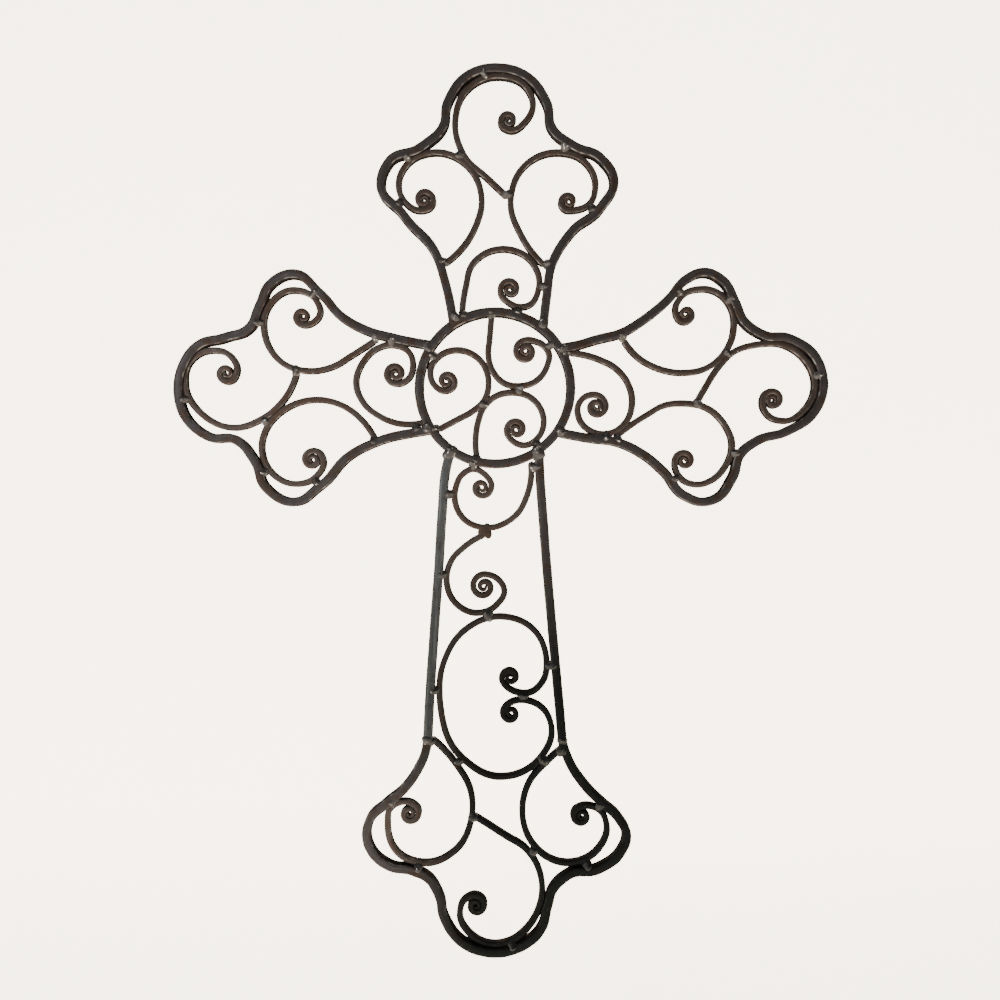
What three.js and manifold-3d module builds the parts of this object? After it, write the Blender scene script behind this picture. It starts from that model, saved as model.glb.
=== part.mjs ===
// Wrought iron wall cross: a centre ring, three lobed arm frames and a tapering shaft on a
// lobed foot of square bar, filled with lighter square bar bent into spiral scrolls and
// welded where they touch.
// Millimetres. +X is right as the cross is seen, +Z is up and the front faces -Y.
// The back of every bar lies on Y = 0, and the origin is on the back of the top arch,
// where the cross hangs.

import * as THREE from 'three';
import { mergeVertices } from 'three/addons/utils/BufferGeometryUtils.js';
import Module from 'manifold-3d';

const wasm = await Module();
wasm.setup();
const { Manifold, Mesh } = wasm;

// Square bar, as deep as it is wide, and drawn down in width alone towards the tip of an eye
const FRAME_THICKNESS = 5.5;
const SCROLL_THICKNESS = 3.8;
const TIP_THICKNESS = 2.3;
const CLEARANCE = 0.3;

// Centre ring, to the middle of its bar
const RING_RADIUS = 45.5;

// Reach of each arm from the ring centre to its outer edge, and its width over the frame
const TOP_REACH = 194.5;
const TOP_WIDTH = 145.2;
const LEFT_REACH = 192.7;
const LEFT_WIDTH = 142.5;
const RIGHT_REACH = 199.7;
const RIGHT_WIDTH = 143.2;

// The shaft below the ring, down to where its posts meet the foot, and the foot
const SHAFT_REACH = 211;
const SHAFT_WIDTH = 86.3;
const FOOT_REACH = 341.4;
const FOOT_WIDTH = 161.5;

// How far the scrolls are spread from the middle of the cross, to bear on their frames
const SCROLL_SPREAD = 1.006;

// Spiral eyes: daylight between the coils, and the hole left at the middle
const EYE_GAP = 0.7;
const EYE_HOLE_RADIUS = 0.2;
const TAPER_SHARE = 0.6;

// Weld beads
const WELD_RADIUS = 2.5;
const WELD_BITE = 1.2;
const WELD_HEIGHT = 1.2;
const WELD_BACK_INSET = 0.6;
const WELD_SIDES = 6;

// Facets: how far one flat face may stand off the curve of a bow, and its turn in an eye
const FACET_SAG = 0.34;
const EYE_STEP = THREE.MathUtils.degToRad(40);

// A bend flatter than this is drawn as a straight run
const STRAIGHT_TURN = 0.0001;
const SHARPEST_SINE = 0.99;

// Finish of the iron
const FRAME_COLOUR = '#4b5358';
const SCROLL_COLOUR = '#3f3a37';
const IRON_ROUGHNESS = 0.45;
const IRON_METALNESS = 0.85;

// An area has its own directions along and across, and places in it are given as shares:
// of the run from start to end, and of the half width between the bar centrelines.
function armArea(along, across, reach, width) {
  return {
    along,
    across,
    start: RING_RADIUS,
    end: reach - FRAME_THICKNESS / 2,
    half: (width - FRAME_THICKNESS) / 2,
  };
}

const UP = [0, 1];
const DOWN = [0, -1];
const RIGHT = [1, 0];
const LEFT = [-1, 0];

const AREAS = {
  ring: { along: UP, across: RIGHT, start: 0, end: RING_RADIUS, half: RING_RADIUS },
  top: armArea(UP, RIGHT, TOP_REACH, TOP_WIDTH),
  left: armArea(LEFT, UP, LEFT_REACH, LEFT_WIDTH),
  right: armArea(RIGHT, UP, RIGHT_REACH, RIGHT_WIDTH),
  shaft: {
    along: DOWN,
    across: RIGHT,
    start: RING_RADIUS,
    end: SHAFT_REACH,
    half: (SHAFT_WIDTH - FRAME_THICKNESS) / 2,
  },
  foot: {
    along: DOWN,
    across: RIGHT,
    start: SHAFT_REACH,
    end: FOOT_REACH - FRAME_THICKNESS / 2,
    half: (FOOT_WIDTH - FRAME_THICKNESS) / 2,
  },
};

const MIDDLE = [(RIGHT_REACH - LEFT_REACH) / 2, (TOP_REACH - FOOT_REACH) / 2];

// Each bar passes through its places in order. An eye has its centre, its starting radius
// as a share of the half width, the angle it starts at and the hand it winds, and slack
// where its coils are looser than the rest. A weld is given by the bar it joins and its
// place, with a size where it is larger than the rest.
const BARS = {
  top_arm_frame: {
    area: 'top',
    stock: FRAME_THICKNESS,
    places: [
      [0.831, -0.549, 'ring'], [0.111, -0.421], [0.248, -0.518], [0.388, -0.77],
      [0.538, -0.979], [0.61, -0.919], [0.677, -0.63], [0.756, -0.451], [0.862, -0.404],
      [0.965, -0.245], [1, 0.026], [0.961, 0.283], [0.861, 0.441], [0.746, 0.5],
      [0.683, 0.668], [0.63, 0.909], [0.538, 1.022], [0.429, 0.909], [0.325, 0.652],
      [0.21, 0.5], [0.05, 0.441], [0.765, 0.636, 'ring'],
    ],
    welds: [['centre_ring', 0.99, -0.56, 'ring', 1.2], ['centre_ring', 0.9, 0.68, 'ring', 1.2]],
  },
  left_arm_frame: {
    area: 'left',
    stock: FRAME_THICKNESS,
    places: [
      [0.559, -0.818, 'ring'], [0.032, 0.403], [0.113, 0.44], [0.193, 0.483],
      [0.322, 0.626], [0.41, 0.826], [0.522, 0.999], [0.615, 0.914], [0.664, 0.709],
      [0.705, 0.526], [0.811, 0.438], [0.912, 0.378], [0.986, 0.166], [1, -0.004],
      [0.964, -0.274], [0.876, -0.424], [0.755, -0.464], [0.683, -0.639],
      [0.635, -0.876], [0.522, -0.999], [0.406, -0.851], [0.289, -0.596],
      [0.161, -0.461], [0, -0.385], [-0.554, -0.831, 'ring'],
    ],
    welds: [['centre_ring', 0.55, -0.91, 'ring', 1.2], ['centre_ring', -0.53, -0.93, 'ring', 1.2]],
  },
  right_arm_frame: {
    area: 'right',
    stock: FRAME_THICKNESS,
    places: [
      [0.52, 0.831, 'ring'], [-0.006, 0.357], [0.124, 0.433], [0.186, 0.466],
      [0.305, 0.62], [0.399, 0.802], [0.448, 0.932], [0.53, 1.006], [0.607, 0.923],
      [0.65, 0.749], [0.687, 0.578], [0.76, 0.464], [0.868, 0.427], [0.955, 0.305],
      [1, 0.047], [0.955, -0.235], [0.852, -0.383], [0.745, -0.455], [0.674, -0.575],
      [0.641, -0.779], [0.576, -0.964], [0.522, -0.994], [0.452, -0.941],
      [0.361, -0.715], [0.301, -0.602], [0.186, -0.475], [0.076, -0.44],
      [-0.58, 0.804, 'ring'],
    ],
    welds: [['centre_ring', 0.53, 0.92, 'ring', 1.2], ['centre_ring', -0.6, 0.9, 'ring', 1.2]],
  },
  left_post: {
    area: 'shaft',
    stock: FRAME_THICKNESS,
    places: [
      [-0.804, -0.58, 'ring'], [0.008, -0.719], [0.188, -0.79], [0.349, -0.829],
      [0.606, -0.904], [0.86, -0.973], [1, -1],
    ],
    welds: [['centre_ring', -0.9, -0.62, 'ring', 1.3]],
  },
  right_post: {
    area: 'shaft',
    stock: FRAME_THICKNESS,
    places: [
      [-0.818, 0.58, 'ring'], [0.095, 0.683], [0.189, 0.713], [0.331, 0.757],
      [0.606, 0.854], [0.86, 0.95], [1, 1],
    ],
    welds: [['centre_ring', -0.9, 0.6, 'ring', 1.3]],
  },
  foot_frame: {
    area: 'foot',
    stock: FRAME_THICKNESS,
    places: [
      [0.983, -1, 'shaft'], [0.058, -0.534], [0.138, -0.591], [0.227, -0.692],
      [0.302, -0.838], [0.368, -0.954], [0.448, -0.988], [0.533, -0.938],
      [0.594, -0.808], [0.615, -0.638], [0.65, -0.515], [0.73, -0.431],
      [0.834, -0.392], [0.944, -0.269], [0.991, -0.115], [1, 0.031], [0.97, 0.208],
      [0.89, 0.354], [0.777, 0.408], [0.702, 0.446], [0.636, 0.562], [0.605, 0.808],
      [0.533, 0.962], [0.458, 1.012], [0.359, 0.938], [0.298, 0.826], [0.232, 0.715],
      [0.1, 0.569], [0.99, 0.99, 'shaft'],
    ],
    welds: [['left_post', 1, -1.01, 'shaft', 1.1], ['right_post', 1, 1, 'shaft', 1.1]],
  },
  top_left_scroll: {
    area: 'top',
    stock: SCROLL_THICKNESS,
    places: [
      [0.203, -0.419], [0.333, -0.181], [0.463, -0.114], [0.585, -0.214],
      [0.65, -0.515], [0.593, -0.767], [0.534, -0.822], [0.464, -0.795],
    ],
    eye: { at: [0.457, -0.607], radius: 0.094, from: -100, hand: 1 },
    welds: [
      ['top_arm_frame', 0.63, -0.76], ['top_arm_frame', 0.44, -0.83],
      ['top_arm_frame', 0.21, -0.43],
    ],
  },
  top_right_scroll: {
    area: 'top',
    stock: SCROLL_THICKNESS,
    places: [
      [0.199, 0.404], [0.287, 0.254], [0.463, 0.136], [0.574, 0.216], [0.65, 0.54],
      [0.614, 0.764], [0.516, 0.861], [0.436, 0.799],
    ],
    eye: { at: [0.449, 0.63], radius: 0.082, from: -65, hand: -1 },
    welds: [
      ['top_arm_frame', 0.68, 0.6], ['top_arm_frame', 0.42, 0.82],
      ['top_arm_frame', 0.2, 0.43],
    ],
  },
  top_end_scroll: {
    area: 'top',
    stock: SCROLL_THICKNESS,
    places: [
      [0.478, 0.083], [0.532, -0.037], [0.643, -0.27], [0.769, -0.342],
      [0.903, -0.246], [0.962, 0.019], [0.911, 0.276], [0.846, 0.326], [0.782, 0.271],
    ],
    eye: { at: [0.78, 0.116], radius: 0.08, from: -90, hand: -1 },
    welds: [
      ['top_arm_frame', 0.97, -0.09], ['top_left_scroll', 0.64, -0.3, 'top', 1.1],
      ['top_right_scroll', 0.48, 0.09, 'top', 1.1],
    ],
  },
  top_base_scroll: {
    area: 'top',
    stock: SCROLL_THICKNESS,
    places: [
      [1.023, -0.426, 'ring'], [0.08, -0.259], [0.208, -0.166], [0.255, 0.091],
      [0.203, 0.315], [0.111, 0.38], [0.019, 0.252], [0.038, 0.112],
    ],
    eye: { at: [0.091, 0.129], radius: 0.086, from: -160, hand: -1, slack: 1.3 },
    welds: [
      ['centre_ring', 1, -0.43, 'ring'], ['centre_ring', 1.02, 0.3, 'ring'],
      ['top_arm_frame', 0.1, 0.41],
    ],
  },
  left_upper_scroll: {
    area: 'left',
    stock: SCROLL_THICKNESS,
    places: [
      [0.193, 0.394], [0.273, 0.285], [0.354, 0.183], [0.45, 0.144], [0.571, 0.225],
      [0.636, 0.438], [0.627, 0.691], [0.52, 0.85], [0.422, 0.75], [0.41, 0.639],
      [0.434, 0.573],
    ],
    eye: { at: [0.48, 0.618], radius: 0.075, from: -80, hand: -1 },
    welds: [
      ['left_arm_frame', 0.68, 0.56], ['left_arm_frame', 0.44, 0.81],
      ['left_arm_frame', 0.18, 0.42],
    ],
  },
  left_lower_scroll: {
    area: 'left',
    stock: SCROLL_THICKNESS,
    places: [
      [0.189, -0.427], [0.241, -0.274], [0.289, -0.19], [0.422, -0.107],
      [0.554, -0.19], [0.635, -0.376], [0.651, -0.517], [0.615, -0.732],
      [0.515, -0.842], [0.429, -0.784],
    ],
    eye: { at: [0.44, -0.631], radius: 0.093, from: 0, hand: 1 },
    welds: [
      ['left_arm_frame', 0.64, -0.75], ['left_arm_frame', 0.42, -0.83],
      ['left_arm_frame', 0.19, -0.46],
    ],
  },
  left_end_scroll: {
    area: 'left',
    stock: SCROLL_THICKNESS,
    places: [
      [0.51, 0.115], [0.545, -0.066], [0.643, -0.266], [0.774, -0.35], [0.904, -0.223],
      [0.968, 0.013], [0.944, 0.234], [0.86, 0.323], [0.786, 0.285],
    ],
    eye: { at: [0.796, 0.124], radius: 0.087, from: 0, hand: -1 },
    welds: [
      ['left_upper_scroll', 0.51, 0.13, 'left', 1.1], ['left_lower_scroll', 0.64, -0.3],
      ['left_arm_frame', 0.98, -0.11],
    ],
  },
  left_base_scroll: {
    area: 'left',
    stock: SCROLL_THICKNESS,
    places: [
      [-0.008, -0.307], [0.063, -0.32], [0.164, -0.25], [0.225, -0.147], [0.26, 0.044],
      [0.233, 0.216], [0.183, 0.328], [0.113, 0.372], [0.042, 0.311], [0.024, 0.193],
      [0.046, 0.07],
    ],
    eye: { at: [0.096, 0.123], radius: 0.093, from: -80, hand: -1 },
    welds: [['left_arm_frame', 0.11, 0.41], ['left_arm_frame', 0.01, -0.36]],
  },
  right_upper_scroll: {
    area: 'right',
    stock: SCROLL_THICKNESS,
    places: [
      [0.215, 0.392], [0.262, 0.266], [0.333, 0.174], [0.438, 0.128], [0.532, 0.166],
      [0.607, 0.3], [0.642, 0.488], [0.631, 0.697], [0.571, 0.832], [0.515, 0.856],
      [0.444, 0.806],
    ],
    eye: { at: [0.452, 0.636], radius: 0.082, from: 180, hand: 1 },
    welds: [
      ['right_arm_frame', 0.42, 0.84], ['right_arm_frame', 0.63, 0.78],
      ['right_arm_frame', 0.2, 0.43],
    ],
  },
  right_lower_scroll: {
    area: 'right',
    stock: SCROLL_THICKNESS,
    places: [
      [0.189, -0.408], [0.293, -0.247], [0.373, -0.153], [0.438, -0.137],
      [0.545, -0.189], [0.607, -0.323], [0.635, -0.479], [0.607, -0.695],
      [0.559, -0.802], [0.5, -0.843], [0.436, -0.793],
    ],
    eye: { at: [0.448, -0.636], radius: 0.084, from: -170, hand: -1 },
    welds: [
      ['right_arm_frame', 0.65, -0.57], ['right_arm_frame', 0.41, -0.8],
      ['right_arm_frame', 0.19, -0.44],
    ],
  },
  right_end_scroll: {
    area: 'right',
    stock: SCROLL_THICKNESS,
    places: [
      [0.502, -0.113], [0.525, -0.024], [0.582, 0.173], [0.642, 0.307], [0.738, 0.375],
      [0.837, 0.37], [0.921, 0.249], [0.962, 0.052], [0.928, -0.18], [0.845, -0.29],
      [0.775, -0.235],
    ],
    eye: { at: [0.796, -0.109], radius: 0.091, from: -170, hand: -1 },
    welds: [
      ['right_upper_scroll', 0.62, 0.29], ['right_lower_scroll', 0.5, -0.13, 'right', 1.1],
      ['right_arm_frame', 0.98, 0.11],
    ],
  },
  right_base_scroll: {
    area: 'right',
    stock: SCROLL_THICKNESS,
    places: [
      [0.448, 1.018, 'ring'], [0.108, 0.246], [0.178, 0.165], [0.226, 0.031],
      [0.242, -0.122], [0.215, -0.305], [0.147, -0.4], [0.076, -0.375],
      [0.031, -0.261], [0.03, -0.148], [0.056, -0.08],
    ],
    eye: { at: [0.101, -0.166], radius: 0.089, from: 50, hand: -1 },
    welds: [['centre_ring', 0.49, 0.97, 'ring'], ['right_arm_frame', 0.14, -0.42]],
  },
  ring_left_scroll: {
    area: 'ring',
    stock: SCROLL_THICKNESS,
    places: [
      [-0.537, -0.716], [-0.413, -0.479], [-0.316, -0.303], [-0.191, -0.158],
      [0.105, -0.086], [0.376, -0.211], [0.491, -0.462], [0.429, -0.712],
      [0.198, -0.851], [0.02, -0.785],
    ],
    eye: { at: [0.084, -0.636], radius: 0.129, from: -90, hand: 1 },
    welds: [['centre_ring', 0.42, -0.82], ['centre_ring', -0.51, -0.75]],
  },
  ring_upper_scroll: {
    area: 'ring',
    stock: SCROLL_THICKNESS,
    places: [
      [0.897, -0.049], [0.633, -0.071], [0.435, -0.088], [0.224, -0.033],
      [0.053, 0.132], [0.02, 0.33], [0.088, 0.541], [0.264, 0.679], [0.462, 0.705],
      [0.56, 0.633], [0.613, 0.514],
    ],
    eye: { at: [0.477, 0.404], radius: 0.148, from: 90, hand: 1 },
    welds: [['centre_ring', 0.93, -0.05], ['centre_ring', 0.57, 0.75]],
  },
  ring_lower_scroll: {
    area: 'ring',
    stock: SCROLL_THICKNESS,
    places: [
      [-0.88, -0.241], [-0.686, -0.255], [-0.475, -0.228], [-0.257, -0.145],
      [-0.112, 0.013], [-0.065, 0.224], [-0.125, 0.462], [-0.29, 0.607],
      [-0.488, 0.64], [-0.666, 0.56], [-0.758, 0.396], [-0.699, 0.231],
    ],
    eye: { at: [-0.55, 0.281], radius: 0.132, from: -160, hand: -1 },
    welds: [
      ['ring_upper_scroll', -0.02, 0.33, 'ring', 1.1], ['ring_left_scroll', -0.21, -0.17],
      ['centre_ring', -0.92, -0.24], ['centre_ring', -0.74, 0.57],
    ],
  },
  shaft_upper_scroll: {
    area: 'shaft',
    stock: SCROLL_THICKNESS,
    places: [
      [0.005, 0.526], [0.098, 0.498], [0.196, 0.267], [0.232, -0.104], [0.2, -0.46],
      [0.142, -0.588], [0.084, -0.579], [0.037, -0.475], [0.02, -0.327],
      [0.039, -0.149],
    ],
    eye: { at: [0.087, -0.196], radius: 0.143, from: 0, hand: -1 },
    welds: [
      ['right_post', 0.01, 0.58, 'shaft', 1.2], ['left_post', 0.11, -0.68],
      ['centre_ring', -1.03, -0.3, 'ring'],
    ],
  },
  shaft_middle_scroll: {
    area: 'shaft',
    stock: SCROLL_THICKNESS,
    places: [
      [0.263, -0.193], [0.297, -0.434], [0.358, -0.661], [0.425, -0.717],
      [0.505, -0.582], [0.54, -0.273], [0.512, 0.021], [0.457, 0.138], [0.419, 0.049],
      [0.404, -0.062],
    ],
    eye: { at: [0.445, -0.166], radius: 0.178, from: 110, hand: 1, slack: 2 },
    welds: [['shaft_upper_scroll', 0.25, -0.14, 'shaft', 1.5], ['left_post', 0.4, -0.76]],
  },
  shaft_large_scroll: {
    area: 'shaft',
    stock: SCROLL_THICKNESS,
    firstEye: { at: [0.773, 0.23], radius: 0.143, from: -120, hand: -1 },
    places: [
      [0.824, 0.297], [0.827, 0.52], [0.785, 0.713], [0.711, 0.763], [0.595, 0.55],
      [0.553, 0.104], [0.602, -0.446], [0.729, -0.772], [0.856, -0.817],
      [1.056, -0.52], [1.132, 0.104], [1.066, 0.668], [0.958, 0.839], [0.882, 0.694],
      [0.857, 0.487], [0.857, 0.297],
    ],
    eye: { at: [0.903, 0.235], radius: 0.134, from: 120, hand: 1 },
    welds: [
      ['shaft_middle_scroll', 0.55, -0.1, 'shaft', 1.3], ['left_post', 0.82, -0.88],
      ['right_post', 0.73, 0.83, 'shaft', 1.2], ['shaft_large_scroll', 0.841, 0.42],
    ],
  },
  foot_left_scroll: {
    area: 'foot',
    stock: SCROLL_THICKNESS,
    places: [
      [1.001, -0.906, 'shaft'], [0.11, -0.3], [0.241, -0.185], [0.354, -0.177],
      [0.514, -0.3], [0.575, -0.527], [0.514, -0.762], [0.396, -0.823], [0.319, -0.8],
      [0.292, -0.738],
    ],
    eye: { at: [0.342, -0.654], radius: 0.08, from: 75, hand: -1 },
    welds: [
      ['foot_frame', 0.3, -0.78], ['foot_frame', 0.59, -0.58],
      ['foot_frame', 0.01, -0.48], ['shaft_large_scroll', 0.1, -0.28],
    ],
  },
  foot_right_scroll: {
    area: 'foot',
    stock: SCROLL_THICKNESS,
    places: [
      [1.034, 0.965, 'shaft'], [0.104, 0.39], [0.19, 0.269], [0.312, 0.211], [0.481, 0.285],
      [0.544, 0.392], [0.574, 0.546], [0.509, 0.792], [0.406, 0.858], [0.331, 0.808],
      [0.309, 0.742],
    ],
    eye: { at: [0.354, 0.664], radius: 0.075, from: 90, hand: 1 },
    welds: [
      ['foot_frame', 0.59, 0.72], ['foot_frame', 0.31, 0.8],
      ['shaft_large_scroll', 1.07, 0.72, 'shaft', 1.3], ['foot_frame', 1.04, 0.95, 'shaft', 1.2],
    ],
  },
  foot_end_scroll: {
    area: 'foot',
    stock: SCROLL_THICKNESS,
    places: [
      [0.359, -0.146], [0.436, 0.054], [0.519, 0.254], [0.624, 0.346], [0.763, 0.35],
      [0.876, 0.254], [0.944, 0.108], [0.955, -0.038], [0.906, -0.192],
      [0.815, -0.269], [0.744, -0.227],
    ],
    eye: { at: [0.772, -0.146], radius: 0.075, from: 80, hand: -1 },
    welds: [
      ['foot_left_scroll', 0.36, -0.16, 'foot', 1.1], ['foot_right_scroll', 0.53, 0.28],
      ['foot_frame', 0.97, 0.14],
    ],
  },
};

// Plane helpers. A place is [x, z].

function distance(a, b) {
  return Math.hypot(b[0] - a[0], b[1] - a[1]);
}

function mix(a, b, share) {
  return [a[0] + (b[0] - a[0]) * share, a[1] + (b[1] - a[1]) * share];
}

function direction(a, b) {
  const length = distance(a, b);
  return [(b[0] - a[0]) / length, (b[1] - a[1]) / length];
}

function placeIn(defaultArea, [runShare, widthShare, areaName = defaultArea]) {
  const area = AREAS[areaName];
  const run = area.start + runShare * (area.end - area.start);
  const side = widthShare * area.half;
  return [area.along[0] * run + area.across[0] * side, area.along[1] * run + area.across[1] * side];
}

// A place of a bar of the given stock
function barPlace(defaultArea, entry, stock) {
  return mix(MIDDLE, placeIn(defaultArea, entry), stock === SCROLL_THICKNESS ? SCROLL_SPREAD : 1);
}

// Bending a bar through its places

// Half the turn that the circle through three places makes over a chord of given length
function halfTurn(a, b, c, chord) {
  const lean = (b[0] - a[0]) * (c[1] - b[1]) - (b[1] - a[1]) * (c[0] - b[0]);
  const sine = (lean * chord) / (distance(a, b) * distance(b, c) * distance(a, c));
  return Math.asin(Math.max(-SHARPEST_SINE, Math.min(SHARPEST_SINE, sine)));
}

// The place at a share of the arc from a to b that turns by twice the half turn
function onArc(a, b, half, share) {
  if (Math.abs(half) < STRAIGHT_TURN) {
    return mix(a, b, share);
  }
  const radius = distance(a, b) / (2 * Math.sin(half));
  const heading = Math.atan2(b[1] - a[1], b[0] - a[0]) - half;
  const turned = heading + 2 * half * share;
  return [
    a[0] + radius * (Math.sin(turned) - Math.sin(heading)),
    a[1] + radius * (Math.cos(heading) - Math.cos(turned)),
  ];
}

// Flat faces for a stretch that turns by so much over its chord. An arc stands off its
// chord by an eighth of the chord times the turn, and by less with the square of the faces.
function facetCount(turn, chord) {
  return Math.max(1, Math.round(Math.sqrt((turn * chord) / (8 * FACET_SAG))));
}

// A smooth line through the places: each stretch eases from the circle through the three
// places before it into the circle through the three places after it.
function bend(places) {
  const last = places.length - 1;
  const line = [];
  for (let i = 0; i < last; i += 1) {
    const [a, b] = [places[i], places[i + 1]];
    const chord = distance(a, b);
    const before = i > 0 ? halfTurn(places[i - 1], a, b, chord) : null;
    const after = i < last - 1 ? halfTurn(a, b, places[i + 2], chord) : null;
    const entry = before ?? after;
    const exit = after ?? before;
    const steps = facetCount(Math.abs(entry) + Math.abs(exit), chord);
    for (let step = 0; step < steps; step += 1) {
      const share = step / steps;
      const ease = Math.sin((Math.PI * share) / 2) ** 2;
      line.push(mix(onArc(a, b, entry, share), onArc(a, b, exit, share), ease));
    }
  }
  line.push(places[last]);
  return line;
}

// The coils of an eye, from its start inwards. Its turns follow from the bar and the gap.
function eyeCoils(areaName, eye) {
  const centre = barPlace(areaName, eye.at, SCROLL_THICKNESS);
  const startRadius = eye.radius * AREAS[areaName].half;
  const endRadius = TIP_THICKNESS / 2 + EYE_HOLE_RADIUS;
  const pitch = (SCROLL_THICKNESS + TIP_THICKNESS) / 2 + EYE_GAP * (eye.slack ?? 1);
  const sweep = (2 * Math.PI * (startRadius - endRadius)) / pitch;
  const steps = Math.max(1, Math.ceil(sweep / EYE_STEP));
  const line = [];
  for (let step = 0; step <= steps; step += 1) {
    const turned = Math.min(step * EYE_STEP, sweep);
    const angle = THREE.MathUtils.degToRad(eye.from) + eye.hand * turned;
    const radius = startRadius + ((endRadius - startRadius) * turned) / sweep;
    line.push([centre[0] + radius * Math.cos(angle), centre[1] + radius * Math.sin(angle)]);
  }
  return line;
}

function lineLength(line) {
  let total = 0;
  for (let i = 1; i < line.length; i += 1) {
    total += distance(line[i - 1], line[i]);
  }
  return total;
}

// Thickness at each place of a line: full stock, drawn down towards the tip of each eye
function drawnThickness(line, stock, firstTaper, lastTaper) {
  const total = lineLength(line);
  let run = 0;
  return line.map((place, i) => {
    run += i > 0 ? distance(line[i - 1], place) : 0;
    const fromStart = firstTaper > 0 ? Math.min(1, run / firstTaper) : 1;
    const fromEnd = lastTaper > 0 ? Math.min(1, (total - run) / lastTaper) : 1;
    return TIP_THICKNESS + (stock - TIP_THICKNESS) * Math.min(fromStart, fromEnd);
  });
}

// A plain end is run on by half its own thickness, so that it meets what it is welded to.
function runOn(places, stock) {
  const back = direction(places[1], places[0]);
  const start = places[0];
  return [[start[0] + (back[0] * stock) / 2, start[1] + (back[1] * stock) / 2], ...places.slice(1)];
}

// The centreline of a bar with the thickness at each of its places
function layOut(bar) {
  const coils = bar.eye ? eyeCoils(bar.area, bar.eye) : [];
  const firstCoils = bar.firstEye ? eyeCoils(bar.area, bar.firstEye).reverse() : [];
  let places = bar.places.map((place) => barPlace(bar.area, place, bar.stock));
  if (bar.eye && !bar.firstEye) {
    places = runOn(places, bar.stock);
  }
  // The bow is bent through the first two places of each eye, so that it runs in smoothly.
  const bow = bend([...firstCoils.slice(-2), ...places, ...coils.slice(0, 2)]);
  const line = [...firstCoils.slice(0, -2), ...bow, ...coils.slice(2)];
  const taperOf = (eyeLine) => (eyeLine.length > 0 ? TAPER_SHARE * lineLength(eyeLine) : 0);
  const thickness = drawnThickness(line, bar.stock, taperOf(firstCoils), taperOf(coils));
  return { line, thickness, stock: bar.stock };
}

function ringLayOut() {
  const line = [];
  const facets = facetCount(2 * Math.PI, 2 * Math.PI * RING_RADIUS);
  for (let i = 0; i < facets; i += 1) {
    const angle = (2 * Math.PI * i) / facets;
    line.push([RING_RADIUS * Math.cos(angle), RING_RADIUS * Math.sin(angle)]);
  }
  return { line, thickness: line.map(() => FRAME_THICKNESS), stock: FRAME_THICKNESS, closed: true };
}

// Solids

function solidFrom(geometry) {
  geometry.deleteAttribute('normal');
  geometry.deleteAttribute('uv');
  const merged = mergeVertices(geometry);
  const corners = merged.index.array;
  const triangles = [];
  for (let i = 0; i < corners.length; i += 3) {
    const [a, b, c] = corners.slice(i, i + 3);
    if (a !== b && b !== c && c !== a) {
      triangles.push(a, b, c);
    }
  }
  return new Manifold(new Mesh({
    numProp: 3,
    vertProperties: merged.attributes.position.array,
    triVerts: new Uint32Array(triangles),
  }));
}

// The two edges of a bar seen from the front, mitred at each bend and widened by a margin
function edgesOf({ line, thickness, closed = false }, margin) {
  const count = line.length;
  const edges = [[], []];
  line.forEach((place, i) => {
    const previous = closed ? line[(i - 1 + count) % count] : line[i - 1];
    const next = closed ? line[(i + 1) % count] : line[i + 1];
    const entry = previous ? direction(previous, place) : direction(place, next);
    const exit = next ? direction(place, next) : entry;
    const sum = [entry[0] + exit[0], entry[1] + exit[1]];
    const mitre = Math.hypot(...sum);
    const reach = (thickness[i] + 2 * margin) / mitre;
    const ahead = previous && next ? 0 : margin * (previous ? 1 : -1);
    const side = [(-sum[1] / mitre) * reach, (sum[0] / mitre) * reach];
    const at = [place[0] + (sum[0] / mitre) * ahead, place[1] + (sum[1] / mitre) * ahead];
    edges[0].push(new THREE.Vector2(at[0] + side[0], at[1] + side[1]));
    edges[1].push(new THREE.Vector2(at[0] - side[0], at[1] - side[1]));
  });
  return edges;
}

// The bar itself, or with a margin the room it needs, open past its front and back
function barSolid(laidOut, margin = 0) {
  const [inner, outer] = edgesOf(laidOut, margin);
  const shape = new THREE.Shape(laidOut.closed ? outer : [...outer, ...inner.reverse()]);
  if (laidOut.closed) {
    shape.holes.push(new THREE.Path(inner));
  }
  const geometry = new THREE.ExtrudeGeometry(shape, {
    depth: laidOut.stock + 2 * margin,
    bevelEnabled: false,
  });
  geometry.translate(0, 0, -margin);
  geometry.rotateX(Math.PI / 2);
  return solidFrom(geometry);
}

// A low weld bead, turned about Y and coming to a blunt crown in front of the deeper bar
function beadSolid({ at: [x, z], radius, depth }, margin = 0) {
  const back = margin - WELD_BACK_INSET;
  const front = -depth - margin;
  const profile = [
    new THREE.Vector2(0, front - WELD_HEIGHT),
    new THREE.Vector2(radius + margin, front),
    new THREE.Vector2(radius + margin, back),
    new THREE.Vector2(0, back),
  ];
  const geometry = new THREE.LatheGeometry(profile, WELD_SIDES);
  geometry.translate(x, 0, z);
  return solidFrom(geometry);
}

// The place on a line nearest to a given place, with the thickness there
function nearestOn({ line, thickness, closed = false }, place) {
  let best = { gap: Infinity };
  const stretches = closed ? line.length : line.length - 1;
  for (let i = 0; i < stretches; i += 1) {
    const [a, b] = [line[i], line[(i + 1) % line.length]];
    const [runX, runZ] = [b[0] - a[0], b[1] - a[1]];
    const along = ((place[0] - a[0]) * runX + (place[1] - a[1]) * runZ) / (runX * runX + runZ * runZ);
    const at = mix(a, b, Math.max(0, Math.min(1, along)));
    const gap = distance(at, place);
    if (gap < best.gap) {
      best = { at, gap, thickness: thickness[i] };
    }
  }
  return best;
}

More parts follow.
